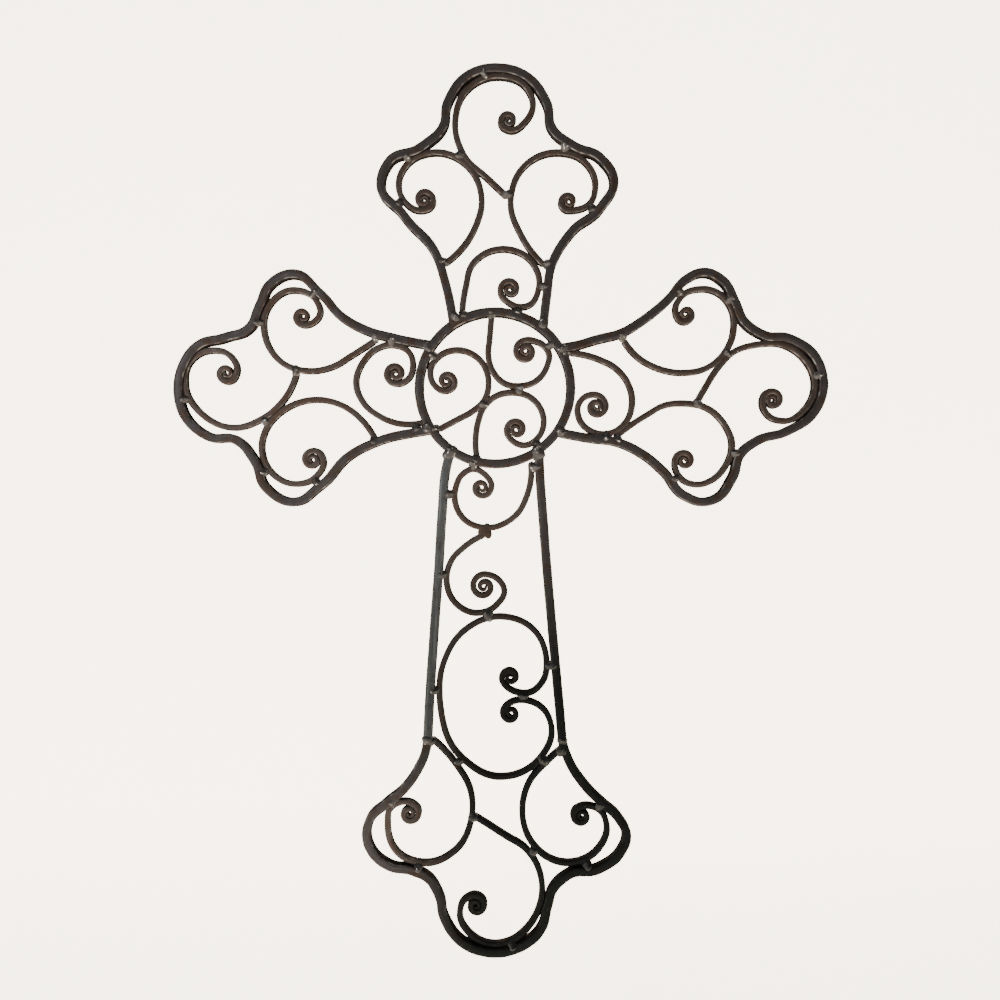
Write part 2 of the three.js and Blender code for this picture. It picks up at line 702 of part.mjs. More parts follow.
// A weld sits midway between the faces of the two bars that it joins, near its place.
function weldSeat(own, other, place) {
  if (own === other) {
    return { at: place, gap: CLEARANCE };
  }
  const here = nearestOn(own, place);
  const there = nearestOn(other, place);
  const span = distance(here.at, there.at);
  const gap = span - (here.thickness + there.thickness) / 2;
  return { at: mix(here.at, there.at, (here.thickness + gap) / 2 / span), gap };
}

// Building the pieces in order: each later one is cut to clear the earlier ones

const layOuts = { centre_ring: ringLayOut() };
for (const [name, bar] of Object.entries(BARS)) {
  layOuts[name] = layOut(bar);
}

function weldsOf(name) {
  return (BARS[name]?.welds ?? []).map(([partner, runShare, widthShare, areaName, size = 1]) => {
    const [own, other] = [layOuts[name], layOuts[partner]];
    const place = barPlace(BARS[name].area, [runShare, widthShare, areaName], own.stock);
    const seat = weldSeat(own, other, place);
    return {
      at: seat.at,
      radius: Math.max(WELD_RADIUS * size, seat.gap / 2 + WELD_BITE),
      depth: Math.max(own.stock, other.stock),
    };
  });
}

function pieceSolid(name, margin = 0) {
  const beads = weldsOf(name).map((bead) => beadSolid(bead, margin));
  return Manifold.union([barSolid(layOuts[name], margin), ...beads]);
}

function largestBody(solid) {
  return solid.decompose().reduce((a, b) => (b.volume() > a.volume() ? b : a));
}

function meshFrom(name, solid) {
  const { vertProperties, triVerts } = solid.getMesh();
  const geometry = new THREE.BufferGeometry();
  geometry.setAttribute('position', new THREE.BufferAttribute(new Float32Array(vertProperties), 3));
  geometry.setIndex(new THREE.BufferAttribute(new Uint32Array(triVerts), 1));
  geometry.computeVertexNormals();
  const heavy = layOuts[name].stock === FRAME_THICKNESS;
  const material = new THREE.MeshStandardMaterial({
    color: heavy ? FRAME_COLOUR : SCROLL_COLOUR,
    roughness: IRON_ROUGHNESS,
    metalness: IRON_METALNESS,
  });
  material.name = `${name}_iron`;
  const mesh = new THREE.Mesh(geometry, material);
  mesh.name = name;
  return mesh;
}

// The whole cross, moved so that the back of the top arch is at the origin. The arch tops
// out at the highest place of its frame.
const cross = new THREE.Group();
cross.name = 'wrought_iron_cross';
const framePlaces = BARS.top_arm_frame.places.map((place) => placeIn('top', place));
const [hangX, hangZ] = framePlaces.reduce((a, b) => (b[1] > a[1] ? b : a));
cross.position.set(-hangX, 0, -hangZ);

const room = [];
for (const name of Object.keys(layOuts)) {
  const trimmed = Manifold.difference([pieceSolid(name), ...room]);
  cross.add(meshFrom(name, largestBody(trimmed)));
  room.push(pieceSolid(name, CLEARANCE));
}

export default cross;
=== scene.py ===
"""Looks of a wrought iron wall cross.

The cross is made of square bar: a centre ring, three lobed arms, and a tapering shaft on a lobed
foot, all filled with lighter bar bent into spiral scrolls and welded where it touches. Lengths are in
millimetres up to the point where a mesh is made, and in metres from there on. +X is right as the
cross is seen, +Z is up and the front faces -Y.
"""

import logging
import math
from dataclasses import dataclass
from enum import Enum, IntEnum

import bpy
import numpy as np
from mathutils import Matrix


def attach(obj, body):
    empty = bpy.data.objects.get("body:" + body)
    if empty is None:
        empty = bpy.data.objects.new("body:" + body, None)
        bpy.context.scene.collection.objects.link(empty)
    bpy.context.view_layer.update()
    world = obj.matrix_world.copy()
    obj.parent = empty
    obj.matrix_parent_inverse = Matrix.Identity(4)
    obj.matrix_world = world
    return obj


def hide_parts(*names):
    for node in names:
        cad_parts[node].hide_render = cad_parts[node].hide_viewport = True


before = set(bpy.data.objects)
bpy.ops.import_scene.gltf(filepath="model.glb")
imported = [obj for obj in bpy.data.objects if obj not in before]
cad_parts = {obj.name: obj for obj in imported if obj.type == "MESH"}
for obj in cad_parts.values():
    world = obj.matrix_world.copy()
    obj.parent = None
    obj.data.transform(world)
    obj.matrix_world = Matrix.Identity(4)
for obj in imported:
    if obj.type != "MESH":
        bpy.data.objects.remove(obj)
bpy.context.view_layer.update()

MM = 0.001
log = logging.getLogger("cross")


class Section(Enum):
    """The areas of the cross, each with its own directions and size."""

    RING = "ring"
    TOP = "top"
    LEFT = "left"
    RIGHT = "right"
    SHAFT = "shaft"
    FOOT = "foot"


class Heft(Enum):
    """The two sizes of square bar."""

    FRAME = "frame"
    SCROLL = "scroll"


class Hand(Enum):
    """The way an eye winds inwards, seen from the front."""

    ANTICLOCKWISE = 1
    CLOCKWISE = -1


class Joint(Enum):
    """The looks of a weld."""

    BEAD = "bead"
    WEB = "web"


class Coat(IntEnum):
    """Material slots of every bar."""

    IRON = 0
    WELD = 1
    # Side faces, backs and ends: the slot of the painted shade.
    SHADED_SIDES = 2


class Patch(Enum):
    """The parts of a bar's outline."""

    BACK_CORNER = "back_corner"
    FLANK = "flank"
    FRONT_CORNER = "front_corner"
    FRONT = "front"
    BACK = "back"


@dataclass(frozen=True)
class Stock:
    """Square bar of one size, in millimetres.

    Args:
        thickness: width seen from the front, and depth.
        front_round: radius of the front corners, rounded by wear.
        back_round: radius of the back corners.
        crown: how far the middle of the front face stands above its corners.
        wander: how far the forged faces stray from flat.
    """

    thickness: float
    front_round: float = 0.8
    back_round: float = 0.35
    crown: float = 0.12
    wander: float = 0.1


STOCKS = {
    Heft.FRAME: Stock(thickness=5.5, front_round=0.95, crown=0.1, wander=0.12),
    Heft.SCROLL: Stock(thickness=3.8, front_round=0.8, crown=0.1, wander=0.09),
}


@dataclass(frozen=True)
class EyeStyle:
    """What all spiral eyes share, in millimetres and shares.

    Args:
        tip: thickness at the very end.
        coil: thickness that the coils keep until close to the end.
        tip_run: length over which the end is drawn out.
        pitch: from one coil to the next.
        tuck_radius: radius from which the drawn-out end is wound tighter.
        tuck_pitch: pitch of that end.
        end_radius: from the eye's middle to the middle of the bar's end.
        taper_share: share of the eye's length that thins towards the tip.
        bow_turn: turn in degrees of the first stretch, through which the bow runs in.
        step: turn in degrees between two stations.
    """

    tip: float = 1.6
    coil: float = 3.5
    tip_run: float = 10.0
    pitch: float = 3.75
    tuck_radius: float = 2.9
    tuck_pitch: float = 2.4
    end_radius: float = 0.9
    taper_share: float = 0.6
    bow_turn: float = 40.0
    step: float = 8.0


@dataclass(frozen=True)
class Eye:
    """The spiral that a scroll ends in.

    Args:
        run: share along its section where the middle lies.
        side: share across its section where the middle lies.
        radius: starting radius as a share of the section's half width.
        start: angle in degrees where it starts.
        hand: the way it winds inwards.
        slack: how much wider than usual its pitch is, in millimetres.
    """

    run: float
    side: float
    radius: float
    start: float
    hand: Hand
    slack: float = 0.0


@dataclass(frozen=True)
class Weld:
    """A weld bead between a bar and one made before it.

    Args:
        partner: name of the other bar.
        run: share along the section near which it sits.
        side: share across the section near which it sits.
        section: the section of those shares, where it isn't the bar's own.
        size: how many times the usual bead.
        joint: what it looks like.
    """

    partner: str
    run: float
    side: float
    section: Section | None = None
    size: float = 1.0
    joint: Joint = Joint.BEAD


@dataclass(frozen=True)
class Bar:
    """One bent bar, given by the places that it passes through.

    Args:
        name: the node that it stands for.
        section: the section that its places are shares of.
        heft: which bar it is bent from.
        places: (run, side) shares, with a third entry where the section is another one.
        eye: the spiral at its end.
        first_eye: the spiral at its start.
        welds: its beads.
    """

    name: str
    section: Section
    heft: Heft
    places: tuple
    eye: Eye | None = None
    first_eye: Eye | None = None
    welds: tuple[Weld, ...] = ()


@dataclass(frozen=True)
class Area:
    """Directions and size of a section, about the ring's centre.

    Args:
        along: unit direction of its run.
        across: unit direction of its width.
        start: where its run starts.
        end: where its run ends.
        half: half its width between the middles of its bars.
    """

    along: tuple[float, float]
    across: tuple[float, float]
    start: float
    end: float
    half: float

    def place(self, run: float, side: float) -> np.ndarray:
        """Gives a point of the section.

        Args:
            run: share of the run.
            side: share of the half width.

        Returns:
            The point, from the ring's centre.
        """
        reach = self.start + run * (self.end - self.start)
        return np.array(self.along) * reach + np.array(self.across) * (side * self.half)


@dataclass
class Line:
    """The middle line of a bar, with its thickness at each station.

    Args:
        points: stations in the plane of the cross.
        thickness: bar thickness at each station.
        closed: whether the last station joins the first.
        front: how far forward the bar comes from its back.
    """

    points: np.ndarray
    thickness: np.ndarray
    closed: bool = False
    front: float = 0.0

    def runs(self) -> np.ndarray:
        """Gives the length from the start at each station."""
        steps = np.linalg.norm(np.diff(self.points, axis=0), axis=1)
        return np.concatenate([[0.0], np.cumsum(steps)])

    def sides(self) -> np.ndarray:
        """Gives the unit normal at each station, to the left of the run."""
        if self.closed:
            ahead = np.roll(self.points, -1, axis=0) - np.roll(self.points, 1, axis=0)
        else:
            ahead = np.gradient(self.points, axis=0)
        ahead /= np.linalg.norm(ahead, axis=1)[:, None]
        return np.stack([-ahead[:, 1], ahead[:, 0]], axis=1)

    def nearest(self, place: np.ndarray) -> int:
        """Gives the index of the station nearest to a place."""
        return int(np.argmin(np.linalg.norm(self.points - place, axis=1)))


class Bender:
    """Bends a straight bar smoothly through its places.

    Half turns below `straight` count as none, and their sines are held to `sharpest`. Stations lie
    about a `step` of millimetres apart.
    """

    straight: float = 0.0001
    sharpest: float = 0.99
    step: float = 1.1

    def half_turn(self, a: np.ndarray, b: np.ndarray, c: np.ndarray, chord: float) -> float:
        """Gives half the turn that the circle through three places makes over a chord.

        Args:
            a: first place.
            b: second place.
            c: third place.
            chord: length of the chord.

        Returns:
            Half the turn, in radians, positive to the left.
        """
        lean = (b[0] - a[0]) * (c[1] - b[1]) - (b[1] - a[1]) * (c[0] - b[0])
        sides = np.linalg.norm(b - a) * np.linalg.norm(c - b) * np.linalg.norm(c - a)
        return math.asin(max(-self.sharpest, min(self.sharpest, lean * chord / sides)))

    def on_arc(self, a: np.ndarray, b: np.ndarray, half: float, share: float) -> np.ndarray:
        """Gives the place at a share of the arc from a to b that turns by twice the half turn.

        Args:
            a: start of the arc.
            b: end of the arc.
            half: half its turn.
            share: share of the arc.

        Returns:
            The place.
        """
        if abs(half) < self.straight:
            return a + (b - a) * share
        radius = float(np.linalg.norm(b - a)) / (2 * math.sin(half))
        heading = math.atan2(b[1] - a[1], b[0] - a[0]) - half
        turned = heading + 2 * half * share
        return a + radius * np.array(
            [math.sin(turned) - math.sin(heading), math.cos(heading) - math.cos(turned)]
        )

    def bend(self, places: list[np.ndarray]) -> np.ndarray:
        """Draws a smooth line through places, easing from each circle into the next.

        Args:
            places: the places in order.

        Returns:
            Stations along the line, about a step apart.
        """
        last = len(places) - 1
        line = []
        for i in range(last):
            a, b = places[i], places[i + 1]
            chord = float(np.linalg.norm(b - a))
            before = self.half_turn(places[i - 1], a, b, chord) if i > 0 else None
            after = self.half_turn(a, b, places[i + 2], chord) if i < last - 1 else None
            entry = after if before is None else before
            leave = before if after is None else after
            count = max(2, math.ceil(chord / self.step))
            for k in range(count):
                share = k / count
                ease = math.sin(math.pi * share / 2) ** 2
                line.append(
                    (1 - ease) * self.on_arc(a, b, entry, share)
                    + ease * self.on_arc(a, b, leave, share)
                )
        line.append(places[last])
        return np.array(line)


@dataclass(frozen=True)
class Smith:
    """Lays out bars of the cross from their places.

    Args:
        areas: the area of each section.
        middle: the middle of the cross, from the ring's centre.
        scroll_spread: how far the scrolls stand out from it.
        style: what all eyes share.
        bender: what bends the bows.
    """

    areas: dict[Section, Area]
    middle: np.ndarray
    scroll_spread: float = 1.006
    style: EyeStyle = EyeStyle()
    bender: Bender = Bender()

    def spread(self, place: np.ndarray) -> np.ndarray:
        """Moves a scroll's place a little out from the middle, to where it bears on its frame."""
        return self.middle + (place - self.middle) * self.scroll_spread

    def place(self, bar: Bar, entry: tuple) -> np.ndarray:
        """Gives the point of a bar's place, in the bar's own section unless it names another.

        Args:
            bar: the bar.
            entry: shares along and across, and the section where it is another one.

        Returns:
            The point.
        """
        section = entry[2] if len(entry) > 2 else bar.section
        point = self.areas[section].place(entry[0], entry[1])
        return self.spread(point) if bar.heft is Heft.SCROLL else point

    def coils(self, own: Section, eye: Eye, step: float) -> np.ndarray:
        """Winds an eye inwards from its start.

        Args:
            own: the bar's section.
            eye: the eye.
            step: turn in degrees between two stations.

        Returns:
            Stations of the spiral.
        """
        area = self.areas[own]
        centre = self.spread(area.place(eye.run, eye.side))
        style, start = self.style, eye.radius * area.half
        tuck = 360 * (start - style.tuck_radius) / (style.pitch + eye.slack)
        sweep = tuck + 360 * (style.tuck_radius - style.end_radius) / style.tuck_pitch
        turned = np.append(np.arange(0.0, sweep, step), sweep)
        angle = np.radians(eye.start + eye.hand.value * turned)
        radius = np.interp(turned, (0.0, tuck, sweep), (start, style.tuck_radius, style.end_radius))
        return centre + radius[:, None] * np.stack([np.cos(angle), np.sin(angle)], axis=1)

    def eye_ends(self, own: Section, eye: Eye | None) -> tuple[list, np.ndarray]:
        """Gives the two places through which a bow runs into an eye, and the rest of the eye.

        Args:
            own: the bar's section.
            eye: the eye, if there is one.

        Returns:
            The places and the remaining stations.
        """
        if eye is None:
            return [], np.zeros((0, 2))
        entry = list(self.coils(own, eye, self.style.bow_turn)[:2])
        fine = self.coils(own, eye, self.style.step)
        return entry, fine[int(self.style.bow_turn / self.style.step) + 1:]

    def thickness(self, points: np.ndarray, stock: Stock, first: float, last: float) -> np.ndarray:
        """Draws the bar down towards the tip of each eye.

        Args:
            points: stations of the bar.
            stock: what it is bent from.
            first: length of the taper at the start.
            last: length of the taper at the end.

        Returns:
            Thickness at each station.
        """
        run = Line(points, np.zeros(len(points))).runs()
        style, width = self.style, np.full(len(points), stock.thickness)
        for taper, left in ((first, run), (last, run[-1] - run)):
            if taper > 0:
                width = np.minimum(width, style.coil + (stock.thickness - style.coil) * left / taper)
                width = np.minimum(width, style.tip + (style.coil - style.tip) * left / style.tip_run)
        return width

    def lay_out(self, bar: Bar) -> Line:
        """Lays out the middle line of a bar.

        Args:
            bar: the bar.

        Returns:
            Its line.
        """
        stock = STOCKS[bar.heft]
        places = [self.place(bar, entry) for entry in bar.places]
        if bar.eye and not bar.first_eye:
            back = (places[0] - places[1]) / np.linalg.norm(places[0] - places[1])
            places[0] = places[0] + back * stock.thickness / 2
        entry, coil = self.eye_ends(bar.section, bar.eye)
        first_entry, first_coil = self.eye_ends(bar.section, bar.first_eye)
        bow = self.bender.bend([*first_entry[::-1], *places, *entry])
        points = np.concatenate([first_coil[::-1], bow, coil])
        lengths = [
            self.style.taper_share * Line(part, np.zeros(len(part))).runs()[-1] if len(part) else 0.0
            for part in (first_coil, coil)
        ]
        return Line(points, self.thickness(points, stock, *lengths), front=stock.thickness)


class Grain:
    """Smooth repeatable unevenness along a length, between -1 and 1.

    Its waves are given by length in millimetres and share.
    """

    waves: tuple[tuple[float, float], ...] = (
        (37.0, 0.9), (21.0, 0.8), (11.0, 0.6), (6.3, 0.4), (3.4, 0.2),
    )

    def __init__(self, name: str) -> None:
        """Takes its phases from a name, so that each bar differs and each run is the same."""
        self.dice = np.random.default_rng(sum((i + 1) * ord(c) for i, c in enumerate(name)))

    def along(self, run: np.ndarray) -> np.ndarray:
        """Gives the unevenness along a bar.

        Args:
            run: length from the bar's start at each station.

        Returns:
            The unevenness at each station.
        """
        total = np.zeros(len(run))
        for length, share in self.waves:
            phase = self.dice.uniform(0, 2 * math.pi)
            stretch = self.dice.uniform(0.85, 1.15)
            total += share * np.sin(2 * math.pi * run / (length * stretch) + phase)
        return total / sum(share for _, share in self.waves)

    def around(self, angle: np.ndarray, lobes: tuple[int, ...] = (2, 3, 5)) -> np.ndarray:
        """Gives the unevenness round a bead.

        Args:
            angle: the angles.
            lobes: how many times each wave goes round.

        Returns:
            The unevenness at each angle.
        """
        total = np.zeros(len(angle))
        for count in lobes:
            total += np.sin(count * angle + self.dice.uniform(0, 2 * math.pi)) / count
        return total / sum(1 / count for count in lobes)


def lump_faces(rows: int, spokes: int) -> list[list[int]]:
    """Numbers the faces of a lump that has a top point, rings of points under it and a foot point.

    Args:
        rows: how many rings.
        spokes: points in a ring.

    Returns:
        Its faces, spoke by spoke from the top down.
    """
    foot = 1 + rows * spokes
    faces = []
    for k in range(spokes):
        after = (k + 1) % spokes
        faces.append([0, 1 + after, 1 + k])
        for upper in range(1, foot - spokes, spokes):
            lower = upper + spokes
            faces.append([upper + k, upper + after, lower + after, lower + k])
        faces.append([foot - spokes + k, foot - spokes + after, foot])
    return faces


@dataclass
class Shell:
    """One closed shell.

    Args:
        points: its corners, in millimetres.
        faces: its faces, by the numbers of their corners.
        coats: material slot of each face.
        marks: what the finish reads at each corner, by name.
    """

    points: np.ndarray
    faces: list[list[int]]
    coats: list[Coat]
    marks: dict[str, np.ndarray]


@dataclass
class Hide:
    """Points and faces of a mesh in the making, with what its finish reads at each point.

    Args:
        points: corners, in millimetres.
        faces: corner numbers of each face.
        coats: material slot of each face.
        marks: one list for each of arris, heat, flank, run and girth.
    """

    points: list[list[float]]
    faces: list[list[int]]
    coats: list[int]
    marks: dict[str, list[float]]

    @staticmethod
    def empty() -> "Hide":
        """Gives a mesh with nothing in it."""
        return Hide([], [], [], {key: [] for key in ("arris", "heat", "flank", "run", "girth")})

    def add(self, shell: Shell) -> None:
        """Adds a closed shell.

        Args:
            shell: the shell; a mark that it leaves out is 0.
        """
        base = len(self.points)
        self.points.extend(shell.points.tolist())
        self.faces.extend([[base + i for i in face] for face in shell.faces])
        self.coats.extend(int(coat) for coat in shell.coats)
        for key, values in self.marks.items():
            values.extend(np.broadcast_to(shell.marks.get(key, 0.0), len(shell.points)).tolist())


@dataclass(frozen=True)
class BarBody:
    """Gives a bar its body: corners rounded by wear, crowned front, uneven forged faces.

    Args:
        stock: what the bar is bent from.
        set_back: how far its front lies behind the frames' fronts.
        corner_steps: flats round each front corner.
        joining_run: length over which a closed bar's unevenness runs back to where it started.
        blunting: share of the thickness over which an end is rounded off.
        end_share: share of the thickness left at the very end.
        wall_share: share of a front corner, from the side wall, that looks like the wall and takes its
            painted shade.
    """

    stock: Stock
    set_back: float = 0.0
    corner_steps: int = 4
    joining_run: float = 12.0
    blunting: float = 0.45
    end_share: float = 0.45
    wall_share: float = 0.4

    def outline(self) -> list[tuple[Patch, int, float]]:
        """Gives the points round the bar as (patch, side, share)."""
        turn = np.linspace(0, 1, self.corner_steps + 1).tolist()
        right = [(Patch.BACK_CORNER, 1, share) for share in (0.0, 0.5, 1.0)]
        right += [(Patch.FLANK, 1, share) for share in (0.33, 0.67)]
        right += [(Patch.FRONT_CORNER, 1, share) for share in turn]
        left = [(patch, -1, share) for patch, _, share in reversed(right)]
        face = [(Patch.FRONT, 0, share) for share in (0.55, 0.0, -0.55)]
        return right + face + left + [(Patch.BACK, 0, 0.0)]

    def shell(self, line: Line, grain: Grain) -> Shell:
        """Sweeps the outline along a line.

        Args:
            line: the bar's middle line.
            grain: its unevenness.

        Returns:
            The closed shell.
        """
        stock, run, sides = self.stock, line.runs(), line.sides()
        half = line.thickness / 2 * self.tips(line, run)
        uneven = {side: stock.wander * grain.along(run) * 0.5 for side in (1, -1)}
        rise = stock.wander * grain.along(run)
        lean = stock.wander * 0.8 * grain.along(run)
        wear = 1 + 0.3 * grain.along(run)
        if line.closed:
            blend = np.clip((run[-1] - run) / self.joining_run, 0, 1)
            uneven = {side: value * blend + value[0] * (1 - blend) for side, value in uneven.items()}
            rise, lean, wear = (v * blend + v[0] * (1 - blend) for v in (rise, lean, wear))
        depth = stock.thickness - self.set_back
        front = np.minimum(stock.front_round * wear, half * 0.85)
        back = np.minimum(stock.back_round, half * 0.6)
        rows, arris, flank, outline = [], [], [], self.outline()
        for patch, side, share in outline:
            edge = half + (uneven[side] if side else 0.0)
            angle = math.pi / 2 * share
            if patch is Patch.BACK_CORNER:
                out, deep = edge - back + back * math.sin(angle), back - back * math.cos(angle)
            elif patch is Patch.FLANK:
                out, deep = edge, np.full(len(run), depth * share)
            elif patch is Patch.FRONT_CORNER:
                out = edge - front + front * math.cos(angle)
                deep = depth - front + front * math.sin(angle) + rise + lean * side * 0.5
            elif patch is Patch.FRONT:
                out = np.abs(share) * (half - front)
                deep = depth + stock.crown * (1 - share * share) + rise + lean * share * 0.5
                side = 1 if share >= 0 else -1
            else:
                out, deep = np.zeros(len(run)), np.zeros(len(run))
            offset = (out * side)[:, None] * sides
            spot = line.points + offset
            rows.append(np.stack([spot[:, 0], -deep, spot[:, 1]], axis=1))
            corner = patch is Patch.FRONT_CORNER
            walled = patch in (Patch.BACK_CORNER, Patch.FLANK) or (corner and share < self.wall_share)
            arris.append(math.sin(math.pi * share) if corner else 0.0)
            # The side walls and the wall's share of each corner are marked for painted shade.
            flank.append(1.0 if walled else 0.0)
        points = np.stack(rows, axis=1)
        stations, round_count = points.shape[:2]
        faces = self.faces(stations, round_count, line.closed)
        # Side walls, backs and the ends go to the slot of the painted shade.
        dull = [wall > 0 or patch is Patch.BACK for (patch, _, _), wall in zip(outline, flank)]
        around = [
            Coat.SHADED_SIDES if here and there else Coat.IRON for here, there in zip(dull, dull[1:] + dull[:1])
        ]
        slots = around * (len(faces) // round_count) + [Coat.SHADED_SIDES] * (len(faces) % round_count)
        marks = {
            "arris": np.tile(arris, stations),
            "flank": np.tile(flank, stations),
            "girth": np.tile(np.arange(round_count, dtype=float), stations),
            "run": np.repeat(run, round_count),
        }
        return Shell(points.reshape(-1, 3), faces, slots, marks)

    def tips(self, line: Line, run: np.ndarray) -> np.ndarray:
        """Rounds the thickness off at the ends.

        Args:
            line: the bar's middle line.
            run: length at each station.

        Returns:
            Share of the thickness kept at each station.
        """
        if line.closed:
            return np.ones(len(run))
        reach = line.thickness * self.blunting
        near = np.clip(np.minimum(run, run[-1] - run) / reach, 0.0, 1.0)
        return self.end_share + (1 - self.end_share) * np.sqrt(1 - (1 - near) ** 2)

    def faces(self, stations: int, count: int, closed: bool) -> list[list[int]]:
        """Numbers the faces of a swept shell.

        Args:
            stations: how many stations.
            count: points round the bar.
            closed: whether the last station joins the first.

        Returns:
            Quads, and a face over each open end.
        """
        spans = stations if closed else stations - 1
        faces = []
        for i in range(spans):
            here, there = i * count, (i + 1) % stations * count
            for k in range(count):
                after = (k + 1) % count
                faces.append([here + k, here + after, there + after, there + k])
        if not closed:
            faces.append(list(range(count - 1, -1, -1)))
            faces.append([(stations - 1) * count + k for k in range(count)])
        return faces


@dataclass(frozen=True)
class WeldBead:
    """A lumpy weld bead that fills the seam between two bars and stands above them.

    Args:
        radius: usual radius.
        bite: how far it reaches over each bar's face.
        crown: height above the bars' fronts.
        back: how far it stops short of the back.
        spokes: points round it.
        corners: how far the three corners of a web stand out.
        web_crown: share of the crown that a web has.
        lobe: place and breadth of its two lobes, as a share of the radius.
        cap: for each ring of its top, the share of the radius and how far the ring is sunk.
        skirt: for each ring below, the share of the height left and the share of the radius.
    """

    radius: float = 2.9
    bite: float = 1.7
    crown: float = 1.0
    back: float = 0.7
    spokes: int = 28
    corners: float = 0.16
    web_crown: float = 0.15
    lobe: float = 0.42
    cap: tuple[tuple[float, float], ...] = (
        (0.18, 0.0), (0.36, 0.0), (0.54, 0.0), (0.7, 0.02), (0.84, 0.12), (0.95, 0.34), (1.0, 0.8),
    )
    skirt: tuple[tuple[float, float], ...] = ((0.76, 0.97), (0.5, 0.9), (0.25, 0.86), (0.0, 0.82))

    def seat(self, own: Line, other: Line, place: np.ndarray) -> tuple[np.ndarray, float, float]:
        """Finds the middle of the seam between two bars near a place.

        Args:
            own: the bar's own line.
            other: the line of the bar that it joins.
            place: the place.

        Returns:
            The seat, the gap between the bars there, and the angle across the seam.
        """
        here, there = own.nearest(place), other.nearest(place)
        a, b = own.points[here], other.points[there]
        span = float(np.linalg.norm(b - a))
        if own is other or span < 0.5:
            return place, 0.3, 0.0
        gap = span - (own.thickness[here] + other.thickness[there]) / 2
        share = (own.thickness[here] + gap) / 2 / span
        return a + (b - a) * share, gap, math.atan2(b[1] - a[1], b[0] - a[0])

    def shell(self, seat: np.ndarray, gap: float, across: float, weld: Weld,
              fronts: tuple[float, float], grain: Grain) -> Shell:
        """Builds the bead.

        Args:
            seat: its middle.
            gap: distance between the bars' faces.
            across: angle across the seam, from the bar itself to the other one.
            weld: its size and look.
            fronts: how far forward the bar itself and the other one come.
            grain: its unevenness.

        Returns:
            The closed shell.
        """
        angle = np.linspace(0, 2 * math.pi, self.spokes, endpoint=False)
        web = weld.joint is Joint.WEB
        radius = max(self.radius * weld.size, gap / 2 + self.bite)
        reach = radius * (1 + 0.2 * grain.around(angle)) * (1 + 0.1 * np.cos(2 * (angle - across)))
        if web:
            reach = reach * (1 + self.corners * np.cos(3 * (angle - across)))
        crown = self.crown * (self.web_crown if web else 1.0)
        lobes = []
        for side, least, most in ((1, 0.75, 1.0), (-1, 0.6, 0.95)):
            skew, height = grain.dice.uniform(-0.5, 0.5), grain.dice.uniform(least, most)
            towards = np.array([math.cos(across + skew), math.sin(across + skew)])
            lobes.append((radius * self.lobe * side * towards, height))
        rays = np.stack([np.cos(angle), np.sin(angle)], axis=1)
        rows = []
        for share, sunk in self.cap:
            spot = (reach * share)[:, None] * rays
            lift = sum(
                height * np.exp(-np.sum((spot - lobe) ** 2, axis=1) / (2 * (self.lobe * radius) ** 2))
                for lobe, height in lobes
            )
            over = np.clip(0.5 + 0.8 * share * np.cos(angle - across), 0.0, 1.0)
            level = fronts[0] + (fronts[1] - fronts[0]) * over
            ripple = 1 + 0.5 * share * grain.around(angle)
            high = level + crown * np.clip(lift * ripple, 0.2, 1.15) * (1 - share**4) - sunk
            rows.append(np.stack([seat[0] + spot[:, 0], -high, seat[1] + spot[:, 1]], axis=1))
        for deep, share in self.skirt:
            high = self.back + (level - self.back) * deep
            spot = (reach * share * (1 + 0.04 * grain.around(angle)))[:, None] * rays
            rows.append(np.stack([seat[0] + spot[:, 0], -high, seat[1] + spot[:, 1]], axis=1))
        top = np.array([[seat[0], float(rows[0][:, 1].mean()), seat[1]]])
        foot = np.array([[seat[0], -self.back, seat[1]]])
        points = np.concatenate([top, *rows, foot])
        upper, lower = len(self.cap), len(self.skirt)
        # The bead's lower rings take the painted shade of the side faces.
        coats = ([Coat.IRON if web else Coat.WELD] * upper + [Coat.SHADED_SIDES] * (lower + 1)) * self.spokes
        flank = np.zeros(len(points))
        flank[1 + upper * self.spokes:] = 1.0
        heat = np.full(len(points), 0.2 if web else 1.0)
        marks = {"heat": heat, "flank": flank, "run": points[:, 0]}
        return Shell(points, lump_faces(len(rows), self.spokes), coats, marks)


